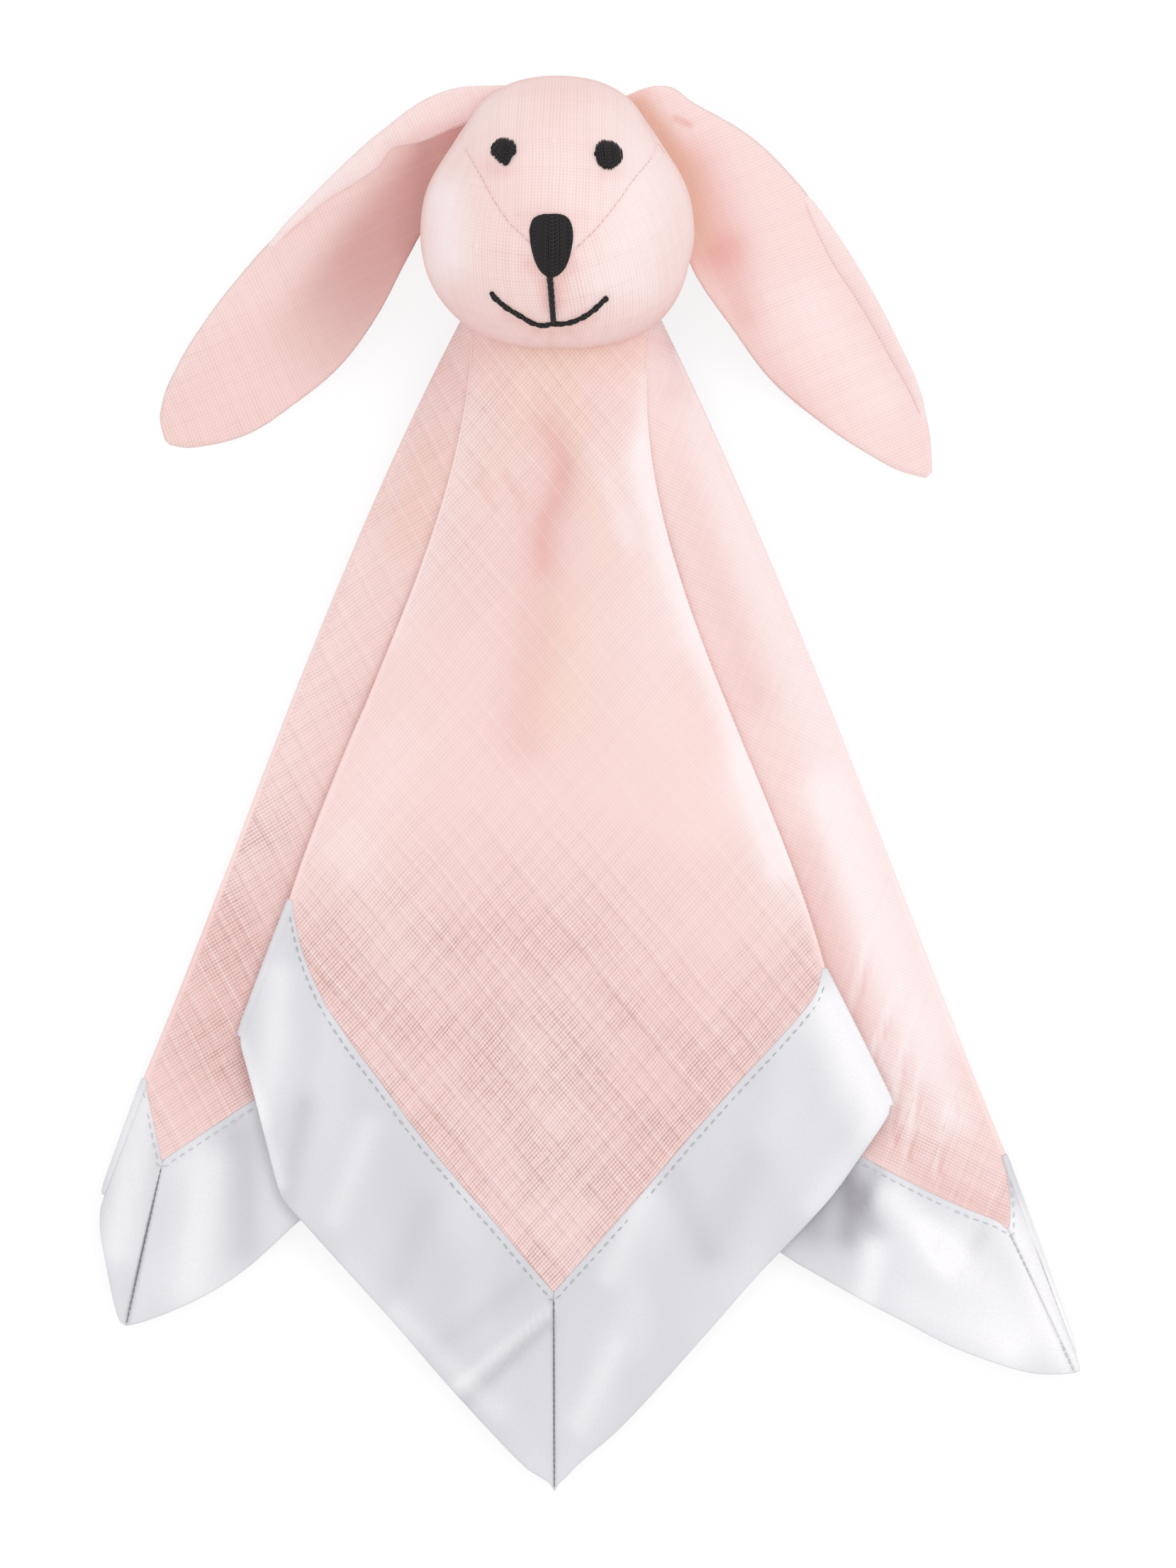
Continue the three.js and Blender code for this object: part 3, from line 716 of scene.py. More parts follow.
def cloth_columns(panels, spacing, turn_steps, hidden_spacing):
    """Every line across one side of the blanket, from the front corner to the back corner."""
    columns = []
    for number, (name, kind, rows) in enumerate(panels):
        length = max(edge_length(rows), 1.0)
        step = spacing if name in ("front", "wing") else hidden_spacing
        count = max(int(round(length / step)), 3)
        inset = FOLD_INSET / length
        first = inset if number > 0 else 0.0
        last = 1.0 - inset if number < len(panels) - 1 else 1.0
        for row in curve_through(rows, crowded(first, last, count, number == 0)):
            columns.append(Column(row, kind, kind, row[5], row[5], 0.0, number, (0.0, 0.0)))
        if number == len(panels) - 1:
            break
        tip = np.asarray(rows[-1], float)
        inner = np.asarray(rows[-2], float)
        along = tip[0:2] - np.array([NECK_SEEN[0] + NECK_SEEN[1] * tip[4], NECK_PIXEL[1]])
        across = np.array([along[1], -along[0]]) / np.hypot(*along)
        if np.dot(inner[0:2] - tip[0:2], across) < 0:
            across = -across
        next_kind, next_rows = panels[number + 1][1], panels[number + 1][2]
        for turn in np.linspace(-math.pi / 2, math.pi / 2, turn_steps):
            owner = number if turn < 0 else number + 1
            columns.append(Column(tip, kind, next_kind, rows[-1][5], next_rows[0][5], turn, owner,
                                  (across[0], -across[1])))
    return columns


def off_middle(x, y):
    """How far a place is from the middle line: 0 on it, 1 at the side of the gathered cloth."""
    half = 23.0 - 0.41 * np.minimum(y, 0.0)
    return np.clip(np.abs(x - 0.8) / half, 0.0, 1.0)


def shoulder(x, y):
    """How far the cloth still stands up towards the neck: 1 at the neck, 0 where it lies flat."""
    fall = 1.0 - smoothstep(-y, 10.0, 95.0)
    return fall * np.sqrt(1.0 - 0.78 * off_middle(x, y) ** 2)


TOP_LEVEL = 8.3
BACK_LEVEL = 0.75
SHOULDER_RISE = 24.0
BACK_RISE = 14.0
TIP_SAG = 3.6


def layer_height(kind, level, x, y, share):
    """The height of one layer of cloth at x, y. share runs from the neck, 0, to the seam, 1.

    The front corner has nothing under it, so it sinks towards the table.
    """
    settle = smoothstep(share, 0.1, 0.75)
    if kind == BACK:
        rise = BACK_RISE * (1.0 - smoothstep(-y, -1.0, 34.0)) * (1.0 - 0.35 * off_middle(x, y) ** 2)
        packed = BACK_LEVEL + (level - BACK_LEVEL) * 0.7
        return packed + (level - packed) * settle + rise
    stack = TOP_LEVEL - (TOP_LEVEL - level) * 0.72
    ground = stack + (level - stack) * settle
    sag = TIP_SAG * smoothstep(-y, 205.0, 262.0) if kind == FRONT else 0.0
    return ground + SHOULDER_RISE * shoulder(x, y) - sag


creases = [
    # from x, y to x, y in the picture, half width in mm, height in mm
    (784, 590, 798, 680, 2.6, -1.1), (798, 660, 766, 790, 2.8, -1.3), (770, 760, 752, 960, 5.0, -1.6),
    (828, 620, 885, 790, 2.2, 1.1), (800, 600, 850, 800, 4.0, 0.9), (905, 840, 985, 1290, 9.0, 1.1),
    (690, 640, 590, 1100, 9.0, 1.0), (745, 980, 700, 1420, 10.0, -1.0), (600, 1050, 520, 1330, 5.0, -0.6),
    (900, 1330, 820, 1650, 9.0, 0.8), (1040, 1180, 1050, 1420, 8.0, -0.8), (712, 672, 736, 712, 1.0, -0.4),
    (676, 680, 700, 722, 1.1, -0.4), (684, 560, 700, 600, 1.6, 0.35), (735, 500, 700, 640, 3.5, 0.8),
]


def relief(x, y):
    """Soft valleys and ridges in the front panel."""
    height = np.zeros_like(x)
    for ax, ay, bx, by, width, rise in creases:
        a = cloth_xy(ax, ay)
        line = cloth_xy(bx, by) - a
        length = np.hypot(*line)
        along = ((x - a[0]) * line[0] + (y - a[1]) * line[1]) / length**2
        off = ((x - a[0]) * line[1] - (y - a[1]) * line[0]) / length
        ends = smoothstep(along, -0.25, 0.2) * (1.0 - smoothstep(along, 0.75, 1.3))
        height += rise * ends * np.exp(-((off / width) ** 2))
    return height


def ripple_field(x, y, seed, size):
    """Smooth made-up waviness, the same on every run."""
    source = np.random.default_rng(seed)
    total = np.zeros_like(x)
    for _ in range(9):
        angle = source.uniform(0.0, TURN)
        length = source.uniform(0.7, 1.6) * size
        phase = source.uniform(0.0, TURN)
        total += np.sin((x * math.cos(angle) + y * math.sin(angle)) * TURN / length + phase)
    return total / 3.0


def raised(column, x, y, share):
    """Points at x, y on one line, at the height of its layer, or half way round its fold."""
    height = layer_height(column.upper, column.top, x, y, share)
    if column.top != column.bottom or column.upper != column.lower:
        bottom = layer_height(column.lower, column.bottom, x, y, share)
        room = 0.3 + 0.8 * FOLD_INSET * share
        rounding = np.clip(0.65 * np.abs(height - bottom), 0.3, 3.2)
        reach_in = np.minimum(rounding, room) * (1.0 - math.cos(column.turn))
        x = x + column.inward[0] * reach_in
        y = y + column.inward[1] * reach_in
        height = 0.5 * (height + bottom) - 0.5 * (height - bottom) * math.sin(column.turn)
    return np.stack([x, y, height], axis=1)


def cloth_line(column, share):
    """Points on the muslin along one line. share goes from the neck, 0, to the seam, 1."""
    row = column.row
    start = np.array([NECK_MIDDLE + NECK_HALF_WIDTH * row[4], 0.0])
    plan = start + (cloth_xy(row[0], row[1]) - start) * share[:, None]
    plan[:, 0] += row[6] * CLOTH_SCALE * share * (1.0 - share) ** 2 / BOW_PEAK
    return raised(column, plan[:, 0], plan[:, 1], share)


def band_line(column, across):
    """Points on the border along one line. across goes from the seam, 0, to the edge, 1."""
    row = column.row
    across = np.asarray(across, float)
    seam = cloth_xy(row[0], row[1])
    plan = seam + (cloth_xy(row[2], row[3]) - seam) * across[:, None]
    return raised(column, plan[:, 0], plan[:, 1], np.ones(len(across)))


print("the front, a wing and their pleats take", len(left_panels), "panels on each side")

# %% [markdown]
# The muslin's threads run parallel to the border. Each panel that shows gets its own flat measure: the
# distance along its two seams from its corner. Hidden panels borrow the measure of the panel they touch.

# %% Thread directions
front_measure = ((781, 1823), (-276, -344), (290, -331))
back_measure = ((782, 1750), (-300, -290), (300, -290))
left_wing_measure = ((228, 1638), (-75, -150), (135, -89))
right_wing_measure = ((1423, 1734), (75, -200), (-209, -103))


def measure_of(owner, wing_measure):
    """The corner and the two seams, in pixels, that a panel is measured from."""
    if owner == 2:
        return wing_measure
    return front_measure if owner < 2 else back_measure


def thread_uv(measure, x, y):
    """Where x, y lies along the two thread directions, in millimetres."""
    corner, first, second = measure
    ways = [np.array([px, -py]) / np.hypot(px, py) for px, py in (first, second)]
    flat = np.linalg.inv(np.array(ways).T)
    corner = cloth_xy(*corner)
    return flat @ np.stack([x - corner[0], y - corner[1]]) + 200.0


print("the front's threads run along", front_measure[1:], "in the picture")

# %% [markdown]
# The cloth's light and shade are painted into its colour: a pink shade where it lies in a valley or in the
# shade of a fold, a creamy shade under the chin, and a near-white painted highlight along the right hand
# folds. These are painted on the points of the mesh as soft strokes, with a share for how open the weave
# looks.

# %% Tones of the muslin


def shifted(pixels, step):
    return [(px + step, py) for px, py in pixels]


valley = [(772, 600), (796, 652), (786, 700), (768, 735), (764, 800), (758, 900), (740, 1040)]
front_edge = [(930, 540), (922, 610), (914, 652), (926, 700), (952, 790), (988, 890), (1050, 1050),
              (1112, 1220)]
# Painted light on the front panel: pink shade in the valley and round the folds, creamy shade under the chin,
# painted highlights on the lit ridges and along the right hand fold.
front_strokes = {
    "pink_shade": [
        (valley[:5], 2.4, 0.26), (valley, 6.5, 0.3), ([(712, 672), (736, 712)], 1.0, 0.3),
        ([(676, 680), (698, 722)], 1.0, 0.24), ([(636, 470), (680, 500)], 5.0, 0.2),
        ([(868, 500), (930, 486)], 5.0, 0.16), ([(560, 1180), (640, 1290)], 22.0, 0.04),
        ([(960, 1420), (870, 1560)], 12.0, 0.08),
    ],
    "cream_shade": [
        ([(748, 500), (840, 500)], 4.0, 0.6), ([(796, 530), (818, 620), (842, 700), (850, 780)], 4.0, 0.4),
        ([(745, 560), (700, 600), (672, 660)], 9.0, 0.35), ([(815, 860), (800, 1010)], 8.0, 0.35),
        ([(905, 500), (895, 560)], 5.0, 0.25),
    ],
    "painted_highlight": [
        (shifted(front_edge, -8), 3.6, 0.8), ([(836, 640), (858, 690), (884, 760)], 2.6, 0.28),
        ([(895, 640), (900, 740), (950, 900)], 7.0, 0.3), ([(880, 900), (930, 1000)], 8.0, 0.2),
        ([(655, 600), (600, 770), (560, 880)], 6.0, 0.35), ([(560, 1050), (500, 1200)], 10.0, 0.25),
        ([(1050, 1100), (1120, 1270)], 8.0, 0.5), ([(778, 1500), (790, 1720)], 13.0, 0.28),
        ([(480, 1200), (560, 1330)], 10.0, 0.2),
    ],
    "sparse": [
        ([(800, 500), (720, 620), (820, 600)], 11.0, 0.3), ([(690, 520), (665, 640), (640, 800)], 9.0, 0.25),
    ],
}
# Painted light on the left wing: pink shade beside the fold and near the neck, creamy shade at the neck, a
# faint painted highlight along the fold.
left_wing_strokes = {
    "pink_shade": [
        ([(330, 1330), (300, 1500), (380, 1480)], 14.0, 0.22),
        ([(612, 830), (545, 1000), (425, 1260)], 4.0, 0.14), ([(620, 540), (560, 720)], 9.0, 0.22),
        ([(604, 640), (578, 740)], 5.0, 0.12),
    ],
    "cream_shade": [([(600, 640), (560, 760)], 8.0, 0.3)],
    "painted_highlight": [([(600, 560), (470, 900), (330, 1250)], 4.0, 0.2)],
    "sparse": [([(330, 1200), (320, 1500)], 14.0, 0.64)],
}
# The right wing's creases are only painted: a thin pink shade line with a painted highlight beside it. The
# wing also gets a painted highlight along its outer edge.
wing_edge = [(980, 530), (1106, 841), (1194, 1051), (1272, 1239), (1360, 1438)]
wing_folds = [
    [(1277, 1386), (1238, 1481), (1222, 1600)], [(1301, 1416), (1271, 1524), (1262, 1610)],
    [(1310, 1500), (1282, 1630)], [(1350, 1560), (1326, 1655)], [(1240, 1290), (1205, 1440)],
]
right_wing_strokes = {
    "pink_shade": [
        ([(950, 560), (968, 640), (1000, 760), (1070, 980)], 5.0, 0.3), ([(944, 495), (953, 545)], 4.0, 0.6),
        ([(1150, 1200), (1190, 1420), (1250, 1600)], 6.0, 0.3), ([(1300, 1660), (1410, 1720)], 3.5, 0.3),
    ] + [(fold, 0.7, 0.6) for fold in wing_folds],
    "cream_shade": [],
    "painted_highlight": [
        (shifted(wing_edge, -22), 9.0, 0.55), ([(1160, 1120), (1260, 1400), (1350, 1580)], 5.5, 0.6),
        ([(1240, 1480), (1290, 1590)], 3.0, 0.4),
    ] + [(shifted(fold, -8), 0.9, 0.4) for fold in wing_folds],
    "sparse": [([(1260, 1560), (1390, 1680)], 10.0, 0.5)],
}


def tones_from(x, y, strokes, place=cloth_xy):
    """Pink shade, creamy shade and painted highlight shares, and the openness of the weave."""
    return [painted(x, y, strokes[name], place) for name in ("pink_shade", "cream_shade", "painted_highlight", "sparse")]


def front_tones(x, y):
    pink_shade, cream_shade, painted_highlight, sparse = tones_from(x, y, front_strokes)
    plain = 0.1 + 0.9 * smoothstep(-y, 108.0, 150.0)
    plain *= 1.0 - 0.75 * near_line(x, y, [(960, 1130), (1010, 1300)], 20.0)
    return pink_shade, cream_shade, painted_highlight, plain + sparse


def left_wing_tones(x, y):
    pink_shade, cream_shade, painted_highlight, sparse = tones_from(x, y, left_wing_strokes)
    return pink_shade, cream_shade, painted_highlight, 0.36 + sparse


def right_wing_tones(x, y):
    pink_shade, cream_shade, painted_highlight, sparse = tones_from(x, y, right_wing_strokes)
    # The whole right wing gets a little painted highlight, from the light on the right.
    return pink_shade, cream_shade, 0.1 + painted_highlight, 0.1 + sparse


def by_owner(columns, shares, other=0.0):
    """One share for each line, by the number of the panel that owns it: 0 is the front, 2 the wing."""
    return np.array([shares.get(c.owner, other) for c in columns])[:, None]


def paint_tones(lines, columns, wing_tones):
    """The painted shade and highlight shares and the openness of every point of one side. Folds get a painted
    pink shade round their edge and no painted highlight.
    """
    x, y = lines[:, :, 0], lines[:, :, 1]
    turned = np.array([smoothstep(c.turn, -0.5, 1.0) if c.turn else 0.0 for c in columns])[:, None]
    front = by_owner(columns, {0: 1.0})
    wing = by_owner(columns, {1: 1.0, 2: 1.0})
    parts = [f * front + w * wing for f, w in zip(front_tones(x, y), wing_tones(x, y))]
    flat = np.array([0.0 if at_fold(c) else 1.0 for c in columns])[:, None]
    parts[0] = parts[0] + 0.25 * turned
    parts[2] = parts[2] * (1.0 - turned)
    tones = np.stack([np.clip(part, 0.0, 1.0) for part in parts[:3]], axis=2)
    return tones, np.clip(parts[3], 0.05, 1.0) * flat


# %% The muslin square
MUSLIN_ROWS = 88
MUSLIN_SPACING = 1.75
MUSLIN_THICKNESS = 0.45
row_shares = np.linspace(0.0, 1.0, MUSLIN_ROWS) ** 1.06


def soften(lines, columns):
    """Adds the valleys of the front panel, slow waves everywhere and fine gathers at the neck."""
    x, y = lines[:, :, 0], lines[:, :, 1]
    shares = np.append(row_shares, 1.0)[None, :]
    hem = smoothstep(1.0 - shares, 0.0, 0.12)
    waves = ripple_field(x, y, 11, 62.0) * 0.55 + ripple_field(x, y, 12, 26.0) * 0.16
    folds = relief(x, y)
    under = np.minimum(folds, 0.0) * by_owner(columns, {1: 1.0, 2: 1.0})
    folds = folds * by_owner(columns, {0: 1.0}) + under
    lines[:, :, 2] += (folds + waves * by_owner(columns, {0: 1.0, 2: 0.7}, 0.15)) * hem
    gathers = ripple_field(x * 3.0, y * 0.4, 13, 14.0) * 0.3 * (1.0 - smoothstep(shares, 0.0, 0.16))
    lines[:, :, 2] += gathers


def muslin_side(panels, wing_measure, wing_tones):
    """One side of the muslin: points, tones and openness, then each line's owner and flat measure."""
    columns = cloth_columns(panels, MUSLIN_SPACING, 7, 5.0)
    lines = np.array([np.concatenate([cloth_line(c, row_shares), band_line(c, [0.07])]) for c in columns])
    soften(lines, columns)
    tones, sparse = paint_tones(lines, columns, wing_tones)
    owners = [c.owner for c in columns]
    return lines, tones, sparse, owners, [measure_of(owner, wing_measure) for owner in owners]


left_side = muslin_side(left_panels, left_wing_measure, left_wing_tones)
right_side = muslin_side(right_panels, right_wing_measure, right_wing_tones)
ring, ring_tones, ring_sparse = [
    np.concatenate([left, right[::-1][1:-1]]) for left, right in zip(left_side[:3], right_side[:3])
]
ring_owner, ring_flat = [left + right[::-1][1:-1] for left, right in zip(left_side[3:], right_side[3:])]
ring_count, ring_rows = ring.shape[0], ring.shape[1]
print("the muslin has", ring_count, "lines of", ring_rows, "points")


def muslin_part(name, first, last):
    """The muslin between two rows of points, all the way round, with its threads and its tones."""
    rows = last - first
    faces = []
    corner_uv = []
    for i in range(ring_count):
        after = (i + 1) % ring_count
        pair = ring[[i, after], first:last]
        measure = ring_flat[after] if ring_owner[after] != ring_owner[i] else ring_flat[i]
        uv = thread_uv(measure, pair[:, :, 0].ravel(), pair[:, :, 1].ravel()).T.reshape(2, rows, 2)
        for j in range(rows - 1):
            faces.append((i * rows + j, i * rows + j + 1, after * rows + j + 1, after * rows + j))
            corner_uv += [uv[0, j], uv[0, j + 1], uv[1, j + 1], uv[1, j]]
    part = piece_from(name, ring[:, first:last].reshape(-1, 3), faces, corner_uv, muslin_pink)
    carry(part, ring_tones[:, first:last], ring_sparse[:, first:last])
    thicken(part, MUSLIN_THICKNESS)
    bake(part)
    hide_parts("muslin_panel")
    return part


# %% [markdown]
# The square's gathered middle, hidden under the chin, where its last few millimetres are sewn to the head,
# is a piece of its own. A piece can bend at only one joint, so the square's gathered middle, hidden under
# the chin, is a piece of its own.

# %% The square and its gathered middle
GATHER_ROWS = 3
muslin_panel = muslin_part("muslin_square", GATHER_ROWS, ring_rows)
gather = muslin_part("muslin_gather", 0, GATHER_ROWS + 1)
gather_edge = ring[:, GATHER_ROWS, 1]
print("the gathered middle ends between", gather_edge.min().round(1), "and", gather_edge.max().round(1), "mm")
Vector(to_metres([0.0, -17.0, 25.0]))
Vector(to_metres([0.0, gather_edge.min() - 0.1, 25.0]))
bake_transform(muslin_panel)
Vector(to_metres([0.0, gather_edge.max() + 0.1, 25.0]))
Vector(to_metres([0.0, -0.4, 25.0]))
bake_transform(gather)

# %% [markdown]
# ## The satin border
#
# The border is four strips of satin. Each is folded in half along the blanket's edge, so it has an upper
# and a lower leaf with the muslin between them, and its raw edge is turned under at the seam. A strip is
# a short profile, lip to lip, swept along the lines of the blanket; where the sewing pulls, the satin
# puckers next to the seam.

# %% Strips
SATIN_THICKNESS = 0.2
SATIN_SPACING = 1.5
profile = [(0.075, 0.14), (0.03, 0.15), (0.006, 0.2), (0.0, 0.34), (0.008, 0.5), (0.035, 0.56)]
profile += [(t, 0.52 + 0.10 * math.sin(math.pi * t)) for t in np.linspace(0.08, 0.9, 15)]
profile += [(0.95, 0.46), (0.98, 0.34), (0.995, 0.17), (1.0, 0.0), (0.995, -0.17), (0.98, -0.3), (0.95, -0.4)]
profile += [(t, -0.44) for t in np.linspace(0.88, 0.06, 9)]
profile += [(0.02, -0.38), (0.0, -0.28), (0.012, -0.2), (0.06, -0.16)]


satin_creases = [
    # from x, y to x, y in the picture, half width in mm, height in mm
    (774, 1850, 645, 1955, 1.5, 0.8), (774, 1862, 660, 1975, 1.7, -0.7), (700, 1800, 690, 1990, 5.0, 0.5),
    (905, 1690, 855, 1810, 2.6, 0.8), (870, 1900, 812, 2015, 2.6, 0.8), (960, 1660, 1002, 1765, 3.0, -0.7),
    (1060, 1570, 1110, 1690, 4.0, 0.6), (1150, 1430, 1225, 1560, 4.5, 0.5), (520, 1590, 470, 1720, 3.5, 0.7),
    (430, 1560, 400, 1690, 2.6, -0.7), (395, 1390, 372, 1560, 3.0, 0.6), (600, 1700, 560, 1800, 3.5, -0.5),
]
wing_creases = [
    (335, 1600, 352, 1800, 2.6, -0.8), (280, 1640, 258, 1810, 2.4, 0.8), (200, 1560, 165, 1700, 2.5, 0.5),
    (1190, 1680, 1196, 1780, 3.0, -0.8), (1228, 1740, 1216, 1820, 2.2, 0.8),
    (1300, 1700, 1322, 1860, 4.0, 0.7), (1385, 1735, 1352, 1800, 1.3, 0.6),
    (1403, 1745, 1384, 1830, 1.4, 0.5), (1340, 1712, 1322, 1760, 1.2, 0.5),
    (1440, 1730, 1490, 1890, 1.8, 0.4), (1262, 1680, 1256, 1730, 1.2, 0.4),
]
satin_shade = [
    # places where the satin is in shade: points in the picture, half width in mm, share
    ([(774, 1866), (650, 1985)], 1.8, 0.3), ([(735, 1810), (620, 1900)], 3.0, 0.15),
    ([(428, 1560), (405, 1690)], 3.0, 0.3), ([(950, 1660), (995, 1770)], 3.2, 0.2),
    ([(1060, 1640), (1010, 1760)], 5.0, 0.2), ([(600, 1700), (560, 1800)], 4.0, 0.15),
    ([(520, 1620), (640, 1820), (740, 1960)], 16.0, 0.1),
]
# painted highlights on the satin: points in the picture, half width in mm, share
satin_highlights = [
    ([(395, 1380), (368, 1570)], 4.0, 0.5), ([(1172, 1420), (1240, 1560)], 7.0, 0.95),
    ([(1225, 1600), (1150, 1700)], 3.0, 0.3), ([(905, 1690), (860, 1800)], 3.0, 0.35),
    ([(868, 1900), (815, 2010)], 3.0, 0.35), ([(520, 1590), (470, 1720)], 3.0, 0.3),
    ([(774, 1850), (645, 1955)], 1.4, 0.4), ([(700, 1990), (560, 1850)], 2.5, 0.3),
    ([(340, 1470), (395, 1670)], 1.6, 0.4),
]
# painted shade on the wing strips, much of it where the front strip shades them
wing_shade = [
    ([(1168, 1640), (1150, 1735)], 4.5, 0.55), ([(1200, 1665), (1196, 1745)], 3.2, 0.75),
    ([(1236, 1655), (1222, 1690)], 2.0, 0.5), ([(335, 1610), (345, 1760)], 5.0, 0.35),
    ([(1388, 1738), (1372, 1768)], 1.6, 0.45), ([(1440, 1765), (1484, 1875)], 1.0, 0.35),
    ([(1215, 1690), (1232, 1735)], 3.0, 0.6),
]
# painted highlights on the wing strips
wing_highlights = [
    ([(1232, 1765), (1222, 1830)], 3.4, 0.7), ([(290, 1650), (268, 1810)], 6.0, 0.6),
    ([(205, 1560), (165, 1760)], 5.0, 0.6), ([(1262, 1690), (1340, 1780)], 3.6, 0.7),
    ([(1340, 1760), (1440, 1880)], 9.0, 0.75), ([(1285, 1840), (1420, 1905)], 5.0, 0.4),
    ([(1430, 1720), (1515, 1920)], 4.0, 0.95),
]


def satin_relief(lines, columns, upper):
    """The creases of the strips, and their painted light: painted shade in x, painted highlights in z."""
    x, y = lines[:, :, 0], lines[:, :, 1]
    tones = np.zeros(lines.shape)
    rise = np.zeros(x.shape)
    on_top = upper[None, :] > 0.5
    marks = ((0, satin_creases, satin_shade, satin_highlights), (2, wing_creases, wing_shade, wing_highlights))
    for owner, folds, dark, bright in marks:
        here = by_owner(columns, {owner: 1.0}) * on_top
        strokes = [([(ax, ay), (bx, by)], width, height) for ax, ay, bx, by, width, height in folds]
        rise += here * painted(x, y, strokes)
        tones[:, :, 0] += here * painted(x, y, dark)
        tones[:, :, 2] += here * painted(x, y, bright)
    return rise, np.clip(tones, 0.0, 1.0)


def strip_line(column, shares, lifts):
    """The strip's profile on one line. At a fold it turns with the cloth."""
    line = band_line(column, shares)
    if at_fold(column):
        line[:, 2] -= lifts * math.sin(column.turn) * 0.9
        line[:, 0] -= column.inward[0] * lifts * math.cos(column.turn)
        line[:, 1] -= column.inward[1] * lifts * math.cos(column.turn)
    else:
        line[:, 2] += lifts * 0.84 * good_side(column)
    return line


def split_at_corner(columns, panels):
    """The columns up to the side corner, and those after it."""
    corner = next(row for row in panels[2][2] if row[0] in (228, 1423))
    distances = [
        np.hypot(c.row[0] - corner[0], c.row[1] - corner[1]) if c.owner == 2 else 1e9 for c in columns
    ]
    cut = int(np.argmin(distances))
    return columns[:cut + 1], columns[cut:]


def strip_piece(side, columns, seed):
    """One satin strip, with the puckers of its seam and its creases."""
    shares, lifts = np.array(profile).T
    lines = np.array([strip_line(column, shares, lifts) for column in columns])
    along = arc_lengths(lines[:, 15, 0:2])
    upper = np.where(lifts > 0, 1.0, 0.4)
    source = np.random.default_rng(seed)
    pucker = np.zeros(len(along))
    for length in (7.5, 11.0, 17.0):
        pucker += np.sin(along * TURN / length + source.uniform(0, 6.3)) * length / 30.0
    slow_wave = np.sin(along * TURN / 43.0 + source.uniform(0, 6.3))
    near_seam = np.exp(-shares / 0.22) * smoothstep(shares, -0.01, 0.06)
    swell = np.sin(math.pi * np.clip(shares, 0.0, 1.0))
    from_end = np.minimum(along, along[-1] - along)
    mitre_dip = 0.3 * np.exp(-((from_end / 0.8) ** 2))
    rise, tones = satin_relief(lines, columns, upper)
    lines[:, :, 2] += rise * swell[None, :] ** 0.5 + pucker[:, None] * (0.34 * near_seam * upper)[None, :]
    lines[:, :, 2] += (0.2 * slow_wave - mitre_dip)[:, None] * (swell * upper)[None, :]
    widths = arc_lengths(np.stack([shares * BAND_WIDTH, lifts], axis=1))
    flat_uv = np.stack(np.meshgrid(along, widths, indexing="ij"), axis=2).reshape(-1, 2)
    faces = grid_faces(len(along), len(widths))
    corner_uv = flat_uv[faces.ravel()]
    strip = piece_from("satin_strip_" + side, lines.reshape(-1, 3), faces, corner_uv, satin_white)
    carry(strip, tones)
    thicken(strip, SATIN_THICKNESS)
    belongs(strip, "blanket", "satin_white", "satin_" + side)


left_columns = cloth_columns(left_panels, SATIN_SPACING, 9, SATIN_SPACING)
right_columns = cloth_columns(right_panels, SATIN_SPACING, 9, SATIN_SPACING)
left_front_half, left_back_half = split_at_corner(left_columns, left_panels)
right_front_half, right_back_half = split_at_corner(right_columns, right_panels)
strip_piece("front_left", left_front_half, 21)
strip_piece("back_left", left_back_half, 22)
strip_piece("front_right", right_front_half, 23)
strip_piece("back_right", right_back_half, 24)


# %% [markdown]
# ## The head
#
# The head is a ball of muslin packed with fibre: full at the cheeks, with a soft muzzle. A ball with an
# even grid is bent to that shape, cut along the seams of its panels, and the cloth is drawn in along every
# seam, where the stitches hold it.

# %% The stuffed ball
HEAD_EASE = 0.3
CROWN_HEIGHT = 19.5
CROWN_TAPER = 0.135
MUZZLE_HEIGHT = -12.0
MUZZLE_SIZE = 13.0
MUZZLE_RISE = 3.2


def head_surface(direction):
    """The point of the head that lies in a direction from its centre, in millimetres."""
    x, y, z = direction
    up = max(-1.0, min(1.0, y))
    angle = math.asin(up)
    corner = 2.4 + 0.45 * float(smoothstep(x, -0.5, 0.5))
    fullness = 2.0 / corner if angle < 0 else 1.0
    rise = math.copysign(abs(math.sin(angle)) ** fullness, angle)
    spread = max(math.cos(angle), 0.0) ** fullness
    flat = math.hypot(x, z)
    cx, cz = (x / flat, z / flat) if flat > 1e-9 else (0.0, 1.0)
    px = (HEAD_RADIUS + HEAD_EASE) * spread * cx
    py = (HEAD_RADIUS + HEAD_EASE) * rise
    pz = HEAD_HALF_DEPTH * spread * cz
    above = py - CROWN_HEIGHT
    narrow = CROWN_TAPER * math.exp(-((above / (6.5 if above > 0.0 else 12.5)) ** 2))
    px *= 1.0 - narrow + 0.014 * math.exp(-(((py + 6.0) / 5.0) ** 2))
    px += 0.5 * float(smoothstep(py, -14.0, -4.0))
    if py < 0.0:
        py *= 1.0 - 0.09 * float(smoothstep(-pz / HEAD_HALF_DEPTH, 0.0, 0.4))
    away = (px * px + (py - MUZZLE_HEIGHT) ** 2) / MUZZLE_SIZE**2
    pz += MUZZLE_RISE * max(0.0, pz) / HEAD_HALF_DEPTH * math.exp(-away)
    return px, py, pz


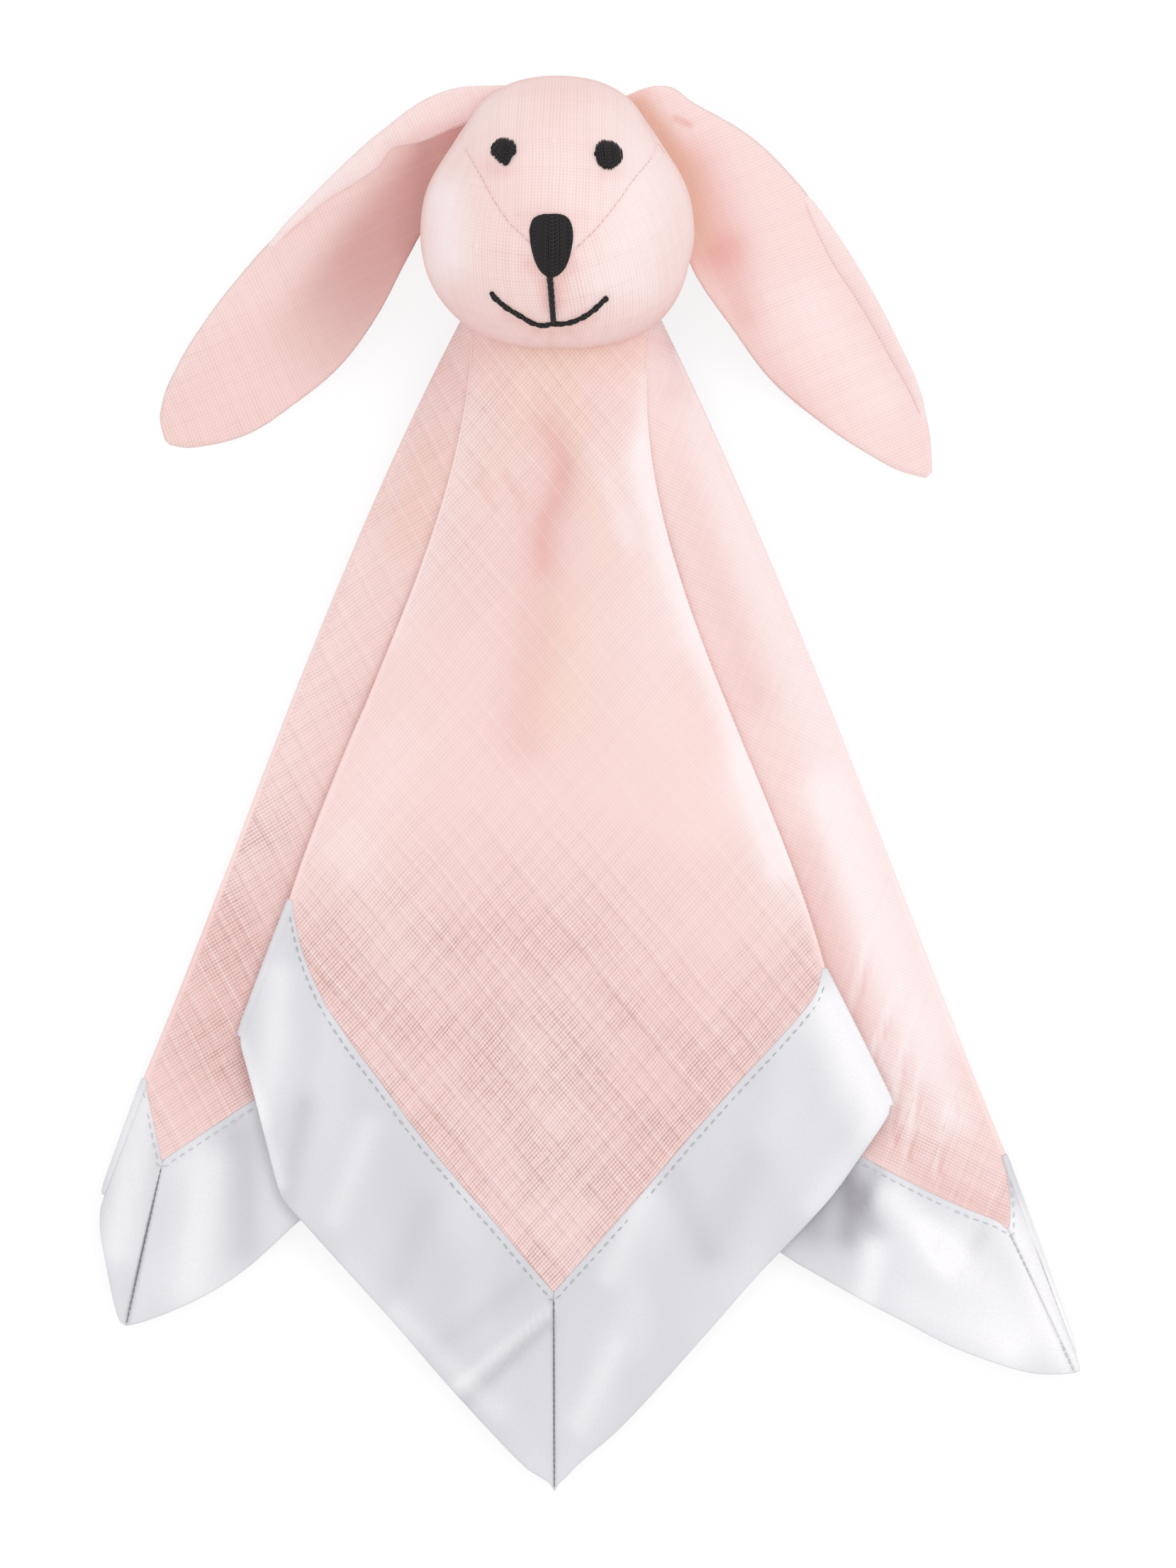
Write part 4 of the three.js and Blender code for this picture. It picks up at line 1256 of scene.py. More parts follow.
def even_ball(cuts):
    """A ball made from a cube whose faces are cut into small squares."""
    bm = bmesh.new()
    bmesh.ops.create_cube(bm, size=2.0)
    bmesh.ops.subdivide_edges(bm, edges=bm.edges[:], cuts=cuts, use_grid_fill=True)
    for vert in bm.verts:
        a, b, c = (math.tan(TURN / 8.0 * v) for v in vert.co)
        vert.co = Vector(head_surface(Vector((a, b, c)).normalized()))
    return bm


def places_of(verts):
    return np.array([tuple(vert.co) for vert in verts])


def move_to(verts, places):
    for vert, place in zip(verts, places):
        vert.co = Vector(place)


head_ball = even_ball(58)
plain_tree = BVHTree.FromBMesh(head_ball)
print("the ball has", len(head_ball.verts), "points")

# %% [markdown]
# A place on the face is found as the lens finds it: a line of sight goes through the picture point and
# meets the ball. Two seams run up from under the nose to the ears and make the V of the forehead. They
# bow outwards a little. One more runs down the chin, and one goes round between front and back.

# %% Seams


def on_head(px, py, tree):
    """Where a line of sight meets the head, in millimetres from the head's centre."""
    start, direction = sight_line(px, py)
    start = start - HEAD_CENTRE
    place = tree.ray_cast(Vector(start), Vector(direction))[0]
    if place is None:
        place = Vector(start - direction * start[2] / direction[2])
    return place


def seam_path(pixels):
    """A seam seen from the front, smooth, from its tip to its top."""
    return np.array([tuple(on_head(px, py, plain_tree))[:2] for px, py in smooth_line(pixels, 40)])


left_path = seam_path([(779, 393), (741, 336), (724, 321), (701, 290), (671, 236), (659, 216), (640, 184),
                       (625, 158)])
right_path = seam_path([(779, 393), (810, 353), (841, 323), (867, 291), (897, 249), (918, 224), (934, 190),
                        (945, 153)])
tip = left_path[0]
left_top = left_path[-1]
right_top = right_path[-1]


def across_line(start, end):
    """A unit vector in plan that stands square to a seam."""
    line = end - start
    line = line / np.hypot(*line)
    return np.array([-line[1], line[0]])


left_across = across_line(tip, left_top)
right_across = -across_line(tip, right_top)
under_nose = Vector((tip[0], tip[1], 0.0))
seam_planes = [
    (under_nose, Vector((left_across[0], left_across[1], 0.0))),
    (under_nose, Vector((right_across[0], right_across[1], 0.0))),
    (under_nose, Vector((1.0, 0.0, 0.0))),
    (Vector((0.0, 0.0, 0.0)), Vector((0.0, 0.0, 1.0))),
]
SEAM_CUTS = (-1.1, -0.45, 0.0, 0.45, 1.1)
for point, normal in seam_planes:
    for offset in SEAM_CUTS:
        bmesh.ops.bisect_plane(
            head_ball, geom=head_ball.verts[:] + head_ball.edges[:] + head_ball.faces[:], dist=1e-5,
            plane_co=point + normal * offset, plane_no=normal,
        )

PANELS = ("back", "crown", "left", "right")
FAR = 99.0


def panel_of(centre):
    """Which panel of the head a point belongs to, by its number in PANELS."""
    if centre.z < 0.0:
        return 0
    flat = np.array([centre.x, centre.y]) - tip
    if flat @ left_across < 0.0 and flat @ right_across < 0.0:
        return 1
    return 2 if centre.x < tip[0] else 3


def seam_distances(points):
    """How far each point is from the V, from the seam of the chin and from the seam round the sides."""
    flat = points[:, 0:2] - tip
    front = points[:, 2] > 0.0
    left = np.where(front & (flat @ (left_top - tip) > 0.0), np.abs(flat @ left_across), FAR)
    right = np.where(front & (flat @ (right_top - tip) > 0.0), np.abs(flat @ right_across), FAR)
    chin = np.where(front & (flat[:, 1] < 0.0), np.abs(flat[:, 0]), FAR)
    return left, right, chin, np.abs(points[:, 2])


panel_layer = head_ball.faces.layers.int.new("panel")
for ball_face in head_ball.faces:
    ball_face[panel_layer] = panel_of(ball_face.calc_center_median())
print("the forehead is in the panel:", PANELS[panel_of(Vector((0.0, 25.0, 10.0)))])

# %% [markdown]
# Fibre swells the cloth between the seams. A coarse copy of the ball, two hundredths smaller, is held at
# its seams and blown up by a cloth simulation. It is ten times its size there, because thin cloth on a ball
# of a few centimetres hardly moves. How far each point moves is then read at the points of the fine ball,
# where less than half of it is used, because the fibre is packed firmly.

# %% Filling the head
MOST_SWELL = 1.4
SWELL_SHARE = 0.4
SIM_SCALE = 10.0

SIM_FRAMES = 20
HELD_GAP = 2.3
READ_REACH = 3.4
COARSE_SHARE = 0.98
CLOTH_SETTINGS = {
    "quality": 8, "mass": 0.1, "tension_stiffness": 0.5, "compression_stiffness": 0.5,
    "shear_stiffness": 0.2, "bending_stiffness": 0.05, "tension_damping": 0.3, "compression_damping": 0.3,
    "shear_damping": 0.3, "use_pressure": True, "uniform_pressure_force": 4.0, "vertex_group_mass": "seams",
}


def simulated(start, coarse, held):
    """Where the points of the coarse ball end after it is blown up, in millimetres."""
    move_to(coarse.verts, start * SIM_SCALE / 1000.0)
    mesh = bpy.data.meshes.new("coarse_ball")
    coarse.to_mesh(mesh)
    ball = put_in_scene("coarse_ball", mesh)
    pins = ball.vertex_groups.new(name="seams")
    pins.add([int(i) for i in np.flatnonzero(held)], 1.0, "REPLACE")
    filling = ball.modifiers.new("filling", "CLOTH")
    for name, value in CLOTH_SETTINGS.items():
        setattr(filling.settings, name, value)
    filling.settings.effector_weights.gravity = 0.0
    filling.point_cache.frame_end = SIM_FRAMES
    for number in range(1, SIM_FRAMES + 1):
        bpy.context.scene.frame_set(number)
    shown = ball.evaluated_get(bpy.context.evaluated_depsgraph_get())
    end = places_of(shown.data.vertices) * 1000.0 / SIM_SCALE
    bpy.context.scene.frame_set(1)
    bpy.data.objects.remove(ball)
    return end


def filled_swell(points):
    """How far the filling pushes each point outwards, in millimetres."""
    coarse = even_ball(11)
    start = places_of(coarse.verts) * COARSE_SHARE
    held = np.min(seam_distances(start), axis=0) < HELD_GAP
    end = simulated(start, coarse, held)
    coarse.free()
    swell = np.linalg.norm(end, axis=1) - np.linalg.norm(start, axis=1)
    print("the filling moves the cloth by", swell.min().round(2), "to", swell.max().round(2), "mm")
    swell = np.clip(swell, 0.0, MOST_SWELL) * SWELL_SHARE
    read = np.zeros(len(points))
    batch = 2000
    for first in range(0, len(points), batch):
        some = points[first:first + batch]
        gap = np.linalg.norm(some[:, None, :] - start[None, :, :] / COARSE_SHARE, axis=2)
        weight = np.exp(-((gap / READ_REACH) ** 2)) + 1e-12
        read[first:first + batch] = (weight @ swell) / weight.sum(axis=1)
    return read


# %% Sewing the seams in


def straight_x(path, heights):
    """Where the straight line between a seam's ends lies at some heights."""
    return path[0, 0] + (heights - path[0, 1]) * (path[-1, 0] - path[0, 0]) / (path[-1, 1] - path[0, 1])


def dip(gap, width):
    """1 on a seam, falling off smoothly at its width."""
    return np.exp(-((gap / width) ** 2))


ball_points = places_of(head_ball.verts)
left_gap, right_gap, chin_gap, side_gap = seam_distances(ball_points)
v_gap = np.minimum(left_gap, right_gap)
puckered = 1.0 + 0.25 * np.sin(ball_points[:, 1] * TURN / 3.1)
sunk = 0.11 * dip(v_gap, 0.5) * puckered + 0.1 * dip(v_gap, 2.4)
sunk += 0.03 * dip(chin_gap, 0.6) + 0.22 * dip(side_gap, 0.6)
sunk += 0.1 * np.sin(ball_points[:, 0] * 0.31 + 1.3) * np.sin(ball_points[:, 1] * 0.27)
swell = filled_swell(ball_points)
bent = ball_points.copy()
for path in (left_path, right_path):
    bow = path[:, 0] - straight_x(path, path[:, 1])
    order = np.argsort(path[:, 1])
    gap = ball_points[:, 0] - straight_x(path, bent[:, 1])
    near = dip(gap, 9.0) * smoothstep(ball_points[:, 2], 5.0, 16.0)
    bent[:, 0] += np.interp(bent[:, 1], path[order, 1], bow[order]) * near
for i in np.flatnonzero(np.abs(bent[:, 0] - ball_points[:, 0]) > 1e-4):
    hit = plain_tree.ray_cast(Vector((bent[i, 0], bent[i, 1], 80.0)), Vector((0.0, 0.0, -1.0)))[0]
    if hit is None:
        bent[i] = ball_points[i]
    else:
        bent[i, 2] = hit.z
move_to(head_ball.verts, bent)
head_ball.normal_update()
bent += np.array([tuple(vert.normal) for vert in head_ball.verts]) * (swell - sunk)[:, None]
bent[:, 2] = np.maximum(bent[:, 2], 0.1 - HEAD_CENTRE[2])
move_to(head_ball.verts, bent)
head_ball.normal_update()
head_tree = BVHTree.FromBMesh(head_ball)
print("the seams are up to", sunk.max().round(2), "mm deep")

# %% [markdown]
# The face's light and shade are painted into its colour: a pink shade towards the chin, along the rim, under
# the eyes and beside the nose, and a painted highlight on the cheeks. The ball is then cut apart into its
# four panels. Each gets a UV map that follows its own threads: upright on the forehead, slanting on the
# cheeks.

# %% Tones of the head


def face_place(px, py):
    """A picture point on the face, in millimetres from the head's centre."""
    return tuple(on_head(px, py, head_tree))[:2]


under_chin = [(625, 440), (655, 462), (700, 480), (776, 488), (860, 480), (905, 466), (935, 448)]
# Painted light on the face: pink shade under the chin, round the eyes, nose and smile and at the crown, a
# creamy shade under the mouth, and painted highlights on the cheeks.
face_strokes = {
    "pink_shade": [
        (under_chin, 3.2, 0.14), (under_chin, 9.0, 0.04), ([(640, 425), (690, 462)], 3.5, 0.1),
        ([(900, 470), (955, 420)], 3.0, 0.14),
        ([(688, 236), (714, 241)], 1.9, 0.26), ([(852, 244), (886, 242)], 2.0, 0.26),
        ([(744, 306), (776, 294), (812, 308)], 2.6, 0.2), ([(748, 372), (768, 396), (773, 430)], 1.8, 0.4),
        ([(805, 372), (789, 394), (787, 430)], 1.8, 0.4), ([(715, 443), (776, 468), (835, 446)], 1.8, 0.3),
        ([(600, 250), (592, 340)], 3.0, 0.16), ([(700, 120), (850, 124)], 5.0, 0.12),
        ([(758, 466), (742, 482)], 0.8, 0.16), ([(778, 470), (776, 486)], 0.7, 0.16),
        ([(800, 466), (818, 480)], 0.8, 0.16),
    ],
    "cream_shade": [([(780, 478), (830, 478)], 3.0, 0.14)],
    "painted_highlight": [
        ([(905, 270), (890, 345)], 9.5, 0.62), ([(626, 280), (632, 360)], 6.0, 0.8),
        ([(790, 230), (795, 285)], 7.0, 0.3), ([(845, 400), (905, 410)], 5.0, 0.35),
        ([(640, 170), (720, 150)], 6.0, 0.25), ([(850, 160), (900, 200)], 6.0, 0.3),
    ],
    "sparse": [([(870, 420), (760, 350)], 9.0, 0.35)],
}


def head_tones(points, normals):
    """The painted shade and highlight shares and the openness of the weave at each point of the head."""
    x, y = points[:, 0], points[:, 1]
    pink_shade, cream_shade, painted_highlight, sparse = tones_from(x, y, face_strokes, face_place)
    front = smoothstep(points[:, 2], -4.0, 4.0)
    away = 1.0 - normals[:, 2]
    rim = smoothstep(away, 0.5, 1.0)
    edge = smoothstep(away, 0.62, 0.92)
    # Painted pink shade at the very edge, where the head turns away from the light, and a thin pinker line
    # along the seams of the V near the nose.
    pink_shade += 0.3 * edge
    pink_shade += 0.3 * dip(right_gap, 0.4) * smoothstep(-y, -19.0, -13.0)
    pink_shade += 0.17 * dip(left_gap, 0.4) * smoothstep(-y, -17.0, -11.0)
    # Painted highlight near the rim, but none on its very edge.
    painted_highlight = (painted_highlight * (1.0 - 0.5 * rim) + 0.4 * rim) * (1.0 - 0.8 * edge)
    tones = np.stack([pink_shade * front, cream_shade * front, painted_highlight * front], axis=1)
    return np.clip(tones, 0.0, 1.0), 0.25 + sparse


tones, openness = head_tones(bent, np.array([tuple(vert.normal) for vert in head_ball.verts]))
tone_layer = head_ball.verts.layers.float_vector.new("tone")
sparse_layer = head_ball.verts.layers.float.new("sparse")
for vert, tone, share in zip(head_ball.verts, tones, openness):
    vert[tone_layer] = Vector(tone)
    vert[sparse_layer] = float(share)
print("the face's deepest pink has a share of", tones[:, 0].max().round(2))

# %% Head panels
HEAD_THICKNESS = 0.6


def head_panel(which, angle, aim, name, slot_name, *nodes):
    """One panel. Its threads are laid out flat round the direction aim, so they bend evenly."""
    aim = Vector(aim).normalized()
    aside = Vector((0.0, 1.0, 0.0)).cross(aim).normalized()
    upward = aim.cross(aside)
    part = head_ball.copy()
    number = part.faces.layers.int["panel"]
    doomed = [f for f in part.faces if PANELS[f[number]] != which]
    bmesh.ops.delete(part, geom=doomed, context="FACES")
    part.faces.layers.int.remove(part.faces.layers.int["panel"])
    threads = part.loops.layers.uv.new("threads")
    cosine, sine = math.cos(angle), math.sin(angle)
    for face in part.faces:
        face.smooth = True
        for loop in face.loops:
            co = loop.vert.co
            way = Vector((co.x, co.y, co.z * HEAD_RADIUS / HEAD_HALF_DEPTH)).normalized()
            turned = math.acos(max(-1.0, min(1.0, way.dot(aim))))
            reach = HEAD_RADIUS * turned / max(math.sin(turned), 0.05)
            u = reach * way.dot(aside)
            v = reach * way.dot(upward)
            loop[threads].uv = (u * cosine - v * sine + 100.0, u * sine + v * cosine + 100.0)
    move_to(part.verts, to_metres(places_of(part.verts) + HEAD_CENTRE))
    mesh = bpy.data.meshes.new(name)
    part.to_mesh(mesh)
    part.free()
    mesh.materials.append(muslin_face)
    made = put_in_scene(name, mesh)
    thicken(made, HEAD_THICKNESS, -1.0)
    bake(made)
    belongs(made, "head", slot_name, *nodes)


head_panel("crown", 0.02, (0.0, 0.5, 0.85), "crown_panel", "muslin_pink", "crown_gusset")
head_panel("left", 0.16, (-0.55, -0.25, 0.8), "cheek_panel_left", "muslin_pale", "cheek_left")
head_panel("right", -0.42, (0.55, -0.25, 0.8), "cheek_panel_right", "muslin_pale", "cheek_right")
head_panel("back", 0.4, (0.0, 0.0, -1.0), "rear_panel", "muslin_pink", "head_back", "head_stuffing")

# %% [markdown]
# ## The embroidered face
#
# Eyes and nose are satin stitch: many parallel threads laid side by side, each a little longer or shorter
# than the next, so the edge is ragged. The mouth and the smile are single lines of thick twisted yarn.
# Every thread is a small tube whose middle line is dropped onto the head from the front, so it follows
# the surface.

# %% Laying threads on the head


def head_height(x, y):
    """The height of the head's surface at x, y, in millimetres."""
    start = Vector((x - HEAD_CENTRE[0], y - HEAD_CENTRE[1], 80.0))
    place = head_tree.ray_cast(start, Vector((0.0, 0.0, -1.0)))[0]
    return HEAD_CENTRE[2] if place is None else place.z + HEAD_CENTRE[2]


def directions_of(line):
    """The unit direction of a line at each of its points."""
    forward = np.gradient(line, axis=0)
    return forward / np.linalg.norm(forward, axis=1)[:, None]


def yarn(line, radius, sides=7, ends_taper=0.35):
    """A round thread along a line of points, closed at both ends: points, faces and UV corners."""
    line = np.asarray(line, float)
    count = len(line)
    lengths = arc_lengths(line)
    radius = np.broadcast_to(np.asarray(radius, float), (count,)).copy()
    radius[[0, -1]] *= ends_taper
    forward = directions_of(line)
    aside = np.cross(forward, [0.0, 0.0, 1.0])
    aside /= np.maximum(np.linalg.norm(aside, axis=1), 1e-9)[:, None]
    above = np.cross(aside, forward)
    points = []
    for i in range(count):
        for k in range(sides):
            angle = TURN * k / sides
            points.append(line[i] + radius[i] * (math.cos(angle) * aside[i] + math.sin(angle) * above[i]))
    faces = []
    uv = []
    for i in range(count - 1):
        for k in range(sides):
            after = (k + 1) % sides
            faces.append((i * sides + k, i * sides + after, (i + 1) * sides + after, (i + 1) * sides + k))
            uv += [(lengths[i], k / sides), (lengths[i], (k + 1) / sides), (lengths[i + 1], (k + 1) / sides),
                   (lengths[i + 1], k / sides)]
    points += [line[0], line[-1]]
    last = (count - 1) * sides
    for k in range(sides):
        after = (k + 1) % sides
        faces += [(after, k, count * sides), (last + k, last + after, count * sides + 1)]
        uv += [(0.0, 0.0)] * 3 + [(lengths[-1], 0.0)] * 3
    return points, faces, uv


def face_yarns(name, yarns, node):
    """Joins several black threads into one piece of the head, with all faces pointing out."""
    points, faces, uv = [], [], []
    for some_points, some_faces, some_uv in yarns:
        base = len(points)
        points += [tuple(p) for p in some_points]
        faces += [tuple(base + i for i in f) for f in some_faces]
        uv += some_uv
    made = piece_from(name, points, faces, uv, thread_black)
    face_outwards(made.data)
    belongs(made, "head", "thread_black", node)


STITCH_PITCH = 0.3


def satin_stitch(outline, lean, radius, dome, ragged, seed):
    """Parallel threads that fill an outline. lean is their direction in radians from upright."""
    source = np.random.default_rng(seed)
    along = np.array([math.sin(lean), math.cos(lean)])
    across = np.array([math.cos(lean), -math.sin(lean)])
    centre = outline.mean(axis=0)
    s = (outline - centre) @ across
    r = (outline - centre) @ along
    yarns = []
    half = max(abs(s.min()), abs(s.max()))
    closed_s = np.append(s, s[0])
    closed_r = np.append(r, r[0])
    place = s.min() + 0.35 * STITCH_PITCH
    while place < s.max():
        hits = []
        for a, b, c, d in zip(closed_s[:-1], closed_s[1:], closed_r[:-1], closed_r[1:]):
            if (a - place) * (b - place) < 0:
                hits.append(c + (d - c) * (place - a) / (b - a))
        if len(hits) >= 2:
            low = min(hits) - source.uniform(0.0, ragged)
            high = max(hits) + source.uniform(0.0, ragged)
            steps = max(int((high - low) / 0.7), 5)
            drift = source.uniform(-0.12, 0.12)
            rounding = dome * (1.0 - (place / (half + 0.3)) ** 2)
            line = []
            for t in np.linspace(0.0, 1.0, steps):
                bowed = place + drift * math.sin(math.pi * t)
                x, y = centre + across * bowed + along * (low + (high - low) * t)
                rise = rounding * math.sin(math.pi * min(max(t, 0.02), 0.98)) ** 0.6
                line.append((x, y, head_height(x, y) + 0.12 + rise + source.uniform(0.0, 0.05)))
            yarns.append(yarn(line, radius * source.uniform(0.9, 1.12), 6))
        place += STITCH_PITCH * source.uniform(0.85, 1.12)
    return yarns


def line_on_head(pixels):
    """Picture points on the face, as x and y in millimetres from the neck."""
    return np.array([face_place(px, py) for px, py in pixels]) + HEAD_CENTRE[0:2]


def outline_on_head(pixels, count=60):
    return line_on_head(smooth_line(list(pixels) + [pixels[0]], count)[:-1])


def laid_edge(outline, radius, inset):
    """A padding thread that runs round an outline, a little inside it, under the stitches."""
    centre = outline.mean(axis=0)
    spots = centre + (outline - centre) * (1.0 - inset / np.hypot(*(outline - centre).T).mean())
    spots = np.concatenate([spots, spots[:2]])
    return yarn([(x, y, head_height(x, y) + 0.1) for x, y in spots], radius, 6, 1.0)


# %% Eyes and nose
left_eye_edge = [
    (692, 214), (696, 202), (708, 195), (722, 199), (728, 209), (722, 222), (715, 232), (702, 226),
]
right_eye_edge = [
    (839, 217), (843, 204), (856, 198), (870, 203), (878, 215), (875, 229), (860, 238), (845, 232),
]
nose_edge = [
    (747, 325), (752, 309), (764, 303), (778, 302), (793, 303), (803, 310), (808, 328), (806, 350),
    (799, 374), (790, 386), (779, 391), (767, 387), (757, 373), (750, 350),
]
for side, edge, lean, seed in (("left", left_eye_edge, 0.45, 31), ("right", right_eye_edge, -0.1, 32)):
    eye_yarns = satin_stitch(outline_on_head(edge), lean, 0.22, 0.75, 0.42, seed)
    face_yarns("eye_stitches_" + side, eye_yarns, "eye_" + side)
nose_outline = outline_on_head(nose_edge, 90)
nose_yarns = satin_stitch(nose_outline, 0.0, 0.24, 1.0, 0.12, 33)
face_yarns("nose_stitches", nose_yarns + [laid_edge(nose_outline, 0.26, 0.2)], "nose")

# %% Mouth and smile
STRANDS = 3
STRAND_TURN = 5.2


def laid_yarn(pixels, count, radius, twist_radius, seed, lift, wander=0.0):
    """Strands twisted round each other along a line on the face."""
    source = np.random.default_rng(seed)
    line = line_on_head(smooth_line(pixels, count))
    base = np.array([(x, y, head_height(x, y) + lift) for x, y in line])
    forward = directions_of(base)
    aside = np.cross(forward, [0.0, 0.0, 1.0])
    above = np.cross(aside, forward)
    lengths = arc_lengths(base)
    thick = 1.0 + wander * np.sin(lengths * 1.9 + source.uniform(0, 6)) * 0.5
    yarns = []
    for k in range(STRANDS):
        angle = lengths * TURN / STRAND_TURN + TURN * k / STRANDS
        offset = (aside * np.cos(angle)[:, None] + above * np.sin(angle)[:, None] * 0.7) * twist_radius
        yarns.append(yarn(base + offset * thick[:, None], radius * thick))
    return yarns


mouth_pixels = [(775, 386), (777, 405), (779, 430), (781, 457)]
smile_pixels = [
    (692, 412), (700, 422), (716, 435), (733, 445), (750, 455), (764, 459), (780, 457), (800, 456),
    (820, 449), (837, 438), (857, 419),
]
face_yarns("mouth_yarn", laid_yarn(mouth_pixels, 26, 0.48, 0.32, 41, 0.4), "mouth_line")
face_yarns("smile_yarn", laid_yarn(smile_pixels, 70, 0.42, 0.29, 42, 0.34, 0.25), "smile")

# %% [markdown]
# ## The ears
#
# Each ear is two plies of muslin sewn together and turned: a lining that faces us and a back. They leave
# the side of the head and droop to the table. The left ear's back ply rolls over its upper edge as a pale
# rim; the right ear shows a narrow one. Both are cupped a little, so the middle of the lining lies lower.

# %% Ear shapes
EAR_LENGTH = 91.4
EAR_WIDTH = 31.0
PLY_THICKNESS = 0.4
left_ear = {
    "side": -1, "root": (650, 233), "tip": (242, 622),
    "shares": [
        (-0.27, -0.1, 0.1), (-0.23, 0.14, 0.1), (-0.19, 0.26, 0.1), (-0.13, 0.41, 0.1), (-0.08, 0.483, 0.1),
        (0.08, 0.566, 0.1), (0.25, 0.583, 0.237), (0.4, 0.568, 0.385), (0.55, 0.536, 0.464),
        (0.7, 0.476, 0.435), (0.85, 0.364, 0.345), (0.94, 0.245, 0.195), (0.98, 0.145, 0.1),
        (1.0, 0.04, 0.02),
    ],
    "rim": [(-0.27, 6.0), (-0.19, 8.5), (-0.07, 9.3), (0.05, 6.6), (0.08, 4.8), (0.15, 5.7), (0.22, 4.7),
            (0.3, 3.0), (0.42, 1.7), (0.55, 0.4), (0.7, 0.3), (1.0, 0.3)],
    "cup": 3.4, "roll": 1.7,
}
right_ear = {
    "side": 1, "root": (930, 254), "tip": (1322, 680),
    "shares": [
        (-0.23, -0.1, 0.1), (-0.2, 0.28, 0.1), (-0.18, 0.425, 0.1), (-0.16, 0.5, 0.1), (-0.08, 0.58, 0.1),
        (0.08, 0.725, 0.1), (0.25, 0.752, 0.267), (0.4, 0.712, 0.325), (0.55, 0.63, 0.369),
        (0.7, 0.512, 0.32), (0.85, 0.355, 0.216), (0.95, 0.17, 0.11), (1.0, 0.05, 0.02),
    ],
    "rim": [(-0.23, 0.3), (0.22, 0.3), (0.255, 0.5), (0.35, 3.0), (0.45, 4.3), (0.55, 3.9), (0.635, 3.6),
            (0.81, 2.4), (0.95, 0.3), (1.0, 0.3)],
    "cup": 2.2, "roll": 0.9,
}


def table_read(table, column, at):
    """Reads one column of a table smoothly; the first column holds the places."""
    xs, values = np.array(table)[:, [0, column]].T
    slopes = np.gradient(values, xs)
    which = np.clip(np.searchsorted(xs, at, side="right") - 1, 0, len(xs) - 2)
    width = xs[which + 1] - xs[which]
    t = np.clip((at - xs[which]) / width, 0.0, 1.0)
    return hermite(values[which], values[which + 1], slopes[which] * width, slopes[which + 1] * width, t)


def ear_frame(ear):
    """The root, the direction to the tip and the direction to the outer edge, in millimetres."""
    root = face_xy(*ear["root"])
    along = face_xy(*ear["tip"]) - root
    along = along / np.hypot(*along)
    outward = np.array([-along[1], along[0]])
    return root, along, outward if outward[1] > 0 else -outward


def ear_floor(x, y):
    """The ear's height above the table: high beside the head, flat further out."""
    away = np.hypot(x - HEAD_CENTRE[0], y - HEAD_CENTRE[1]) - HEAD_RADIUS
    return 22.5 * (1.0 - smoothstep(away, -3.0, 42.0))


def ear_grid(ear, offsets_of, heights_of):
    """A grid over the ear. offsets_of and heights_of give each line's places across and above."""
    root, along, outward = ear_frame(ear)
    at = ear_stations(ear)
    outer = table_read(ear["shares"], 1, at) * EAR_WIDTH
    inner = table_read(ear["shares"], 2, at) * EAR_WIDTH
    rim = np.maximum(table_read(ear["rim"], 1, at), 0.3)
    lines = []
    for t, out, inside, edge in zip(at, outer, inner, rim):
        width = out + inside
        offsets = offsets_of(width, edge)
        spot = root + along * (t * EAR_LENGTH)
        plan = spot[None, :] + outward[None, :] * (out - offsets)[:, None]
        share = np.clip(offsets / max(width, 0.1), 0.0, 1.0)
        cup = ear["cup"] * min(width / 25.0, 1.0) * (np.abs(2.0 * share - 1.0) ** 2.2)
        cup = cup * smoothstep(1.03 - t, 0.0, 0.3)
        height = ear_floor(plan[:, 0], plan[:, 1]) + 1.0 + cup + heights_of(ear, width, edge, offsets)
        lines.append(np.stack([plan[:, 0], plan[:, 1], height], axis=1))
    return np.array(lines)


def ear_stations(ear):
    """Shares of the ear's length, closer together at the root and at the tip."""
    first = ear["shares"][0][0]
    root = np.linspace(first, first + 0.12, 14)[:-1]
    middle = np.linspace(first + 0.12, 0.88, 62)[:-1]
    end = 1.0 - 0.12 * (1.0 - np.linspace(0.0, 1.0, 16)) ** 1.6
    return np.concatenate([root, middle, end])


def ear_ply(side, layer, ear, material, offsets_of, heights_of, tones_of):
    """One ply of an ear."""
    lines = ear_grid(ear, offsets_of, heights_of)
    root, along, outward = ear_frame(ear)
    spread = lines[:, :, 0:2] - root[None, None, :]
    u = spread @ along
    v = spread @ outward
    turn = 0.35 * ear["side"]
    cosine, sine = math.cos(turn), math.sin(turn)
    threads = np.stack([u * cosine - v * sine, u * sine + v * cosine], axis=2).reshape(-1, 2) + 150.0
    faces = grid_faces(*u.shape)
    name = "ear_" + layer + "_ply_" + side
    ply = piece_from(name, lines.reshape(-1, 3), faces, threads[faces.ravel()], material)
    shades = [np.broadcast_to(part, u.shape) for part in tones_of(u, v, lines[:, :, 0], lines[:, :, 1])]
    carry(ply, np.clip(np.stack(shades[:3], axis=2), 0.0, 1.0), shades[3])
    face_outwards(ply.data)
    thicken(ply, PLY_THICKNESS)
    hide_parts("ear_" + layer + "_" + side)
    start, end = [Vector(to_metres([*(root + step * along), z])) for step, z in ((-6.0, 24.0), (10.0, 20.0))]
    "ear_" + side
    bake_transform(ply)
    print(name, "has", len(faces), "faces")


def rim_share(edge):
    """1 where the back ply rolls over the edge as a rim, 0 where the lining runs right out to it."""
    return float(smoothstep(edge, 0.6, 1.8))


def lining_offsets(width, edge):
    first = rim_share(edge) * max(edge - 2.2, 0.2)
    return first + (width - first) * np.linspace(0.0, 1.0, 34)


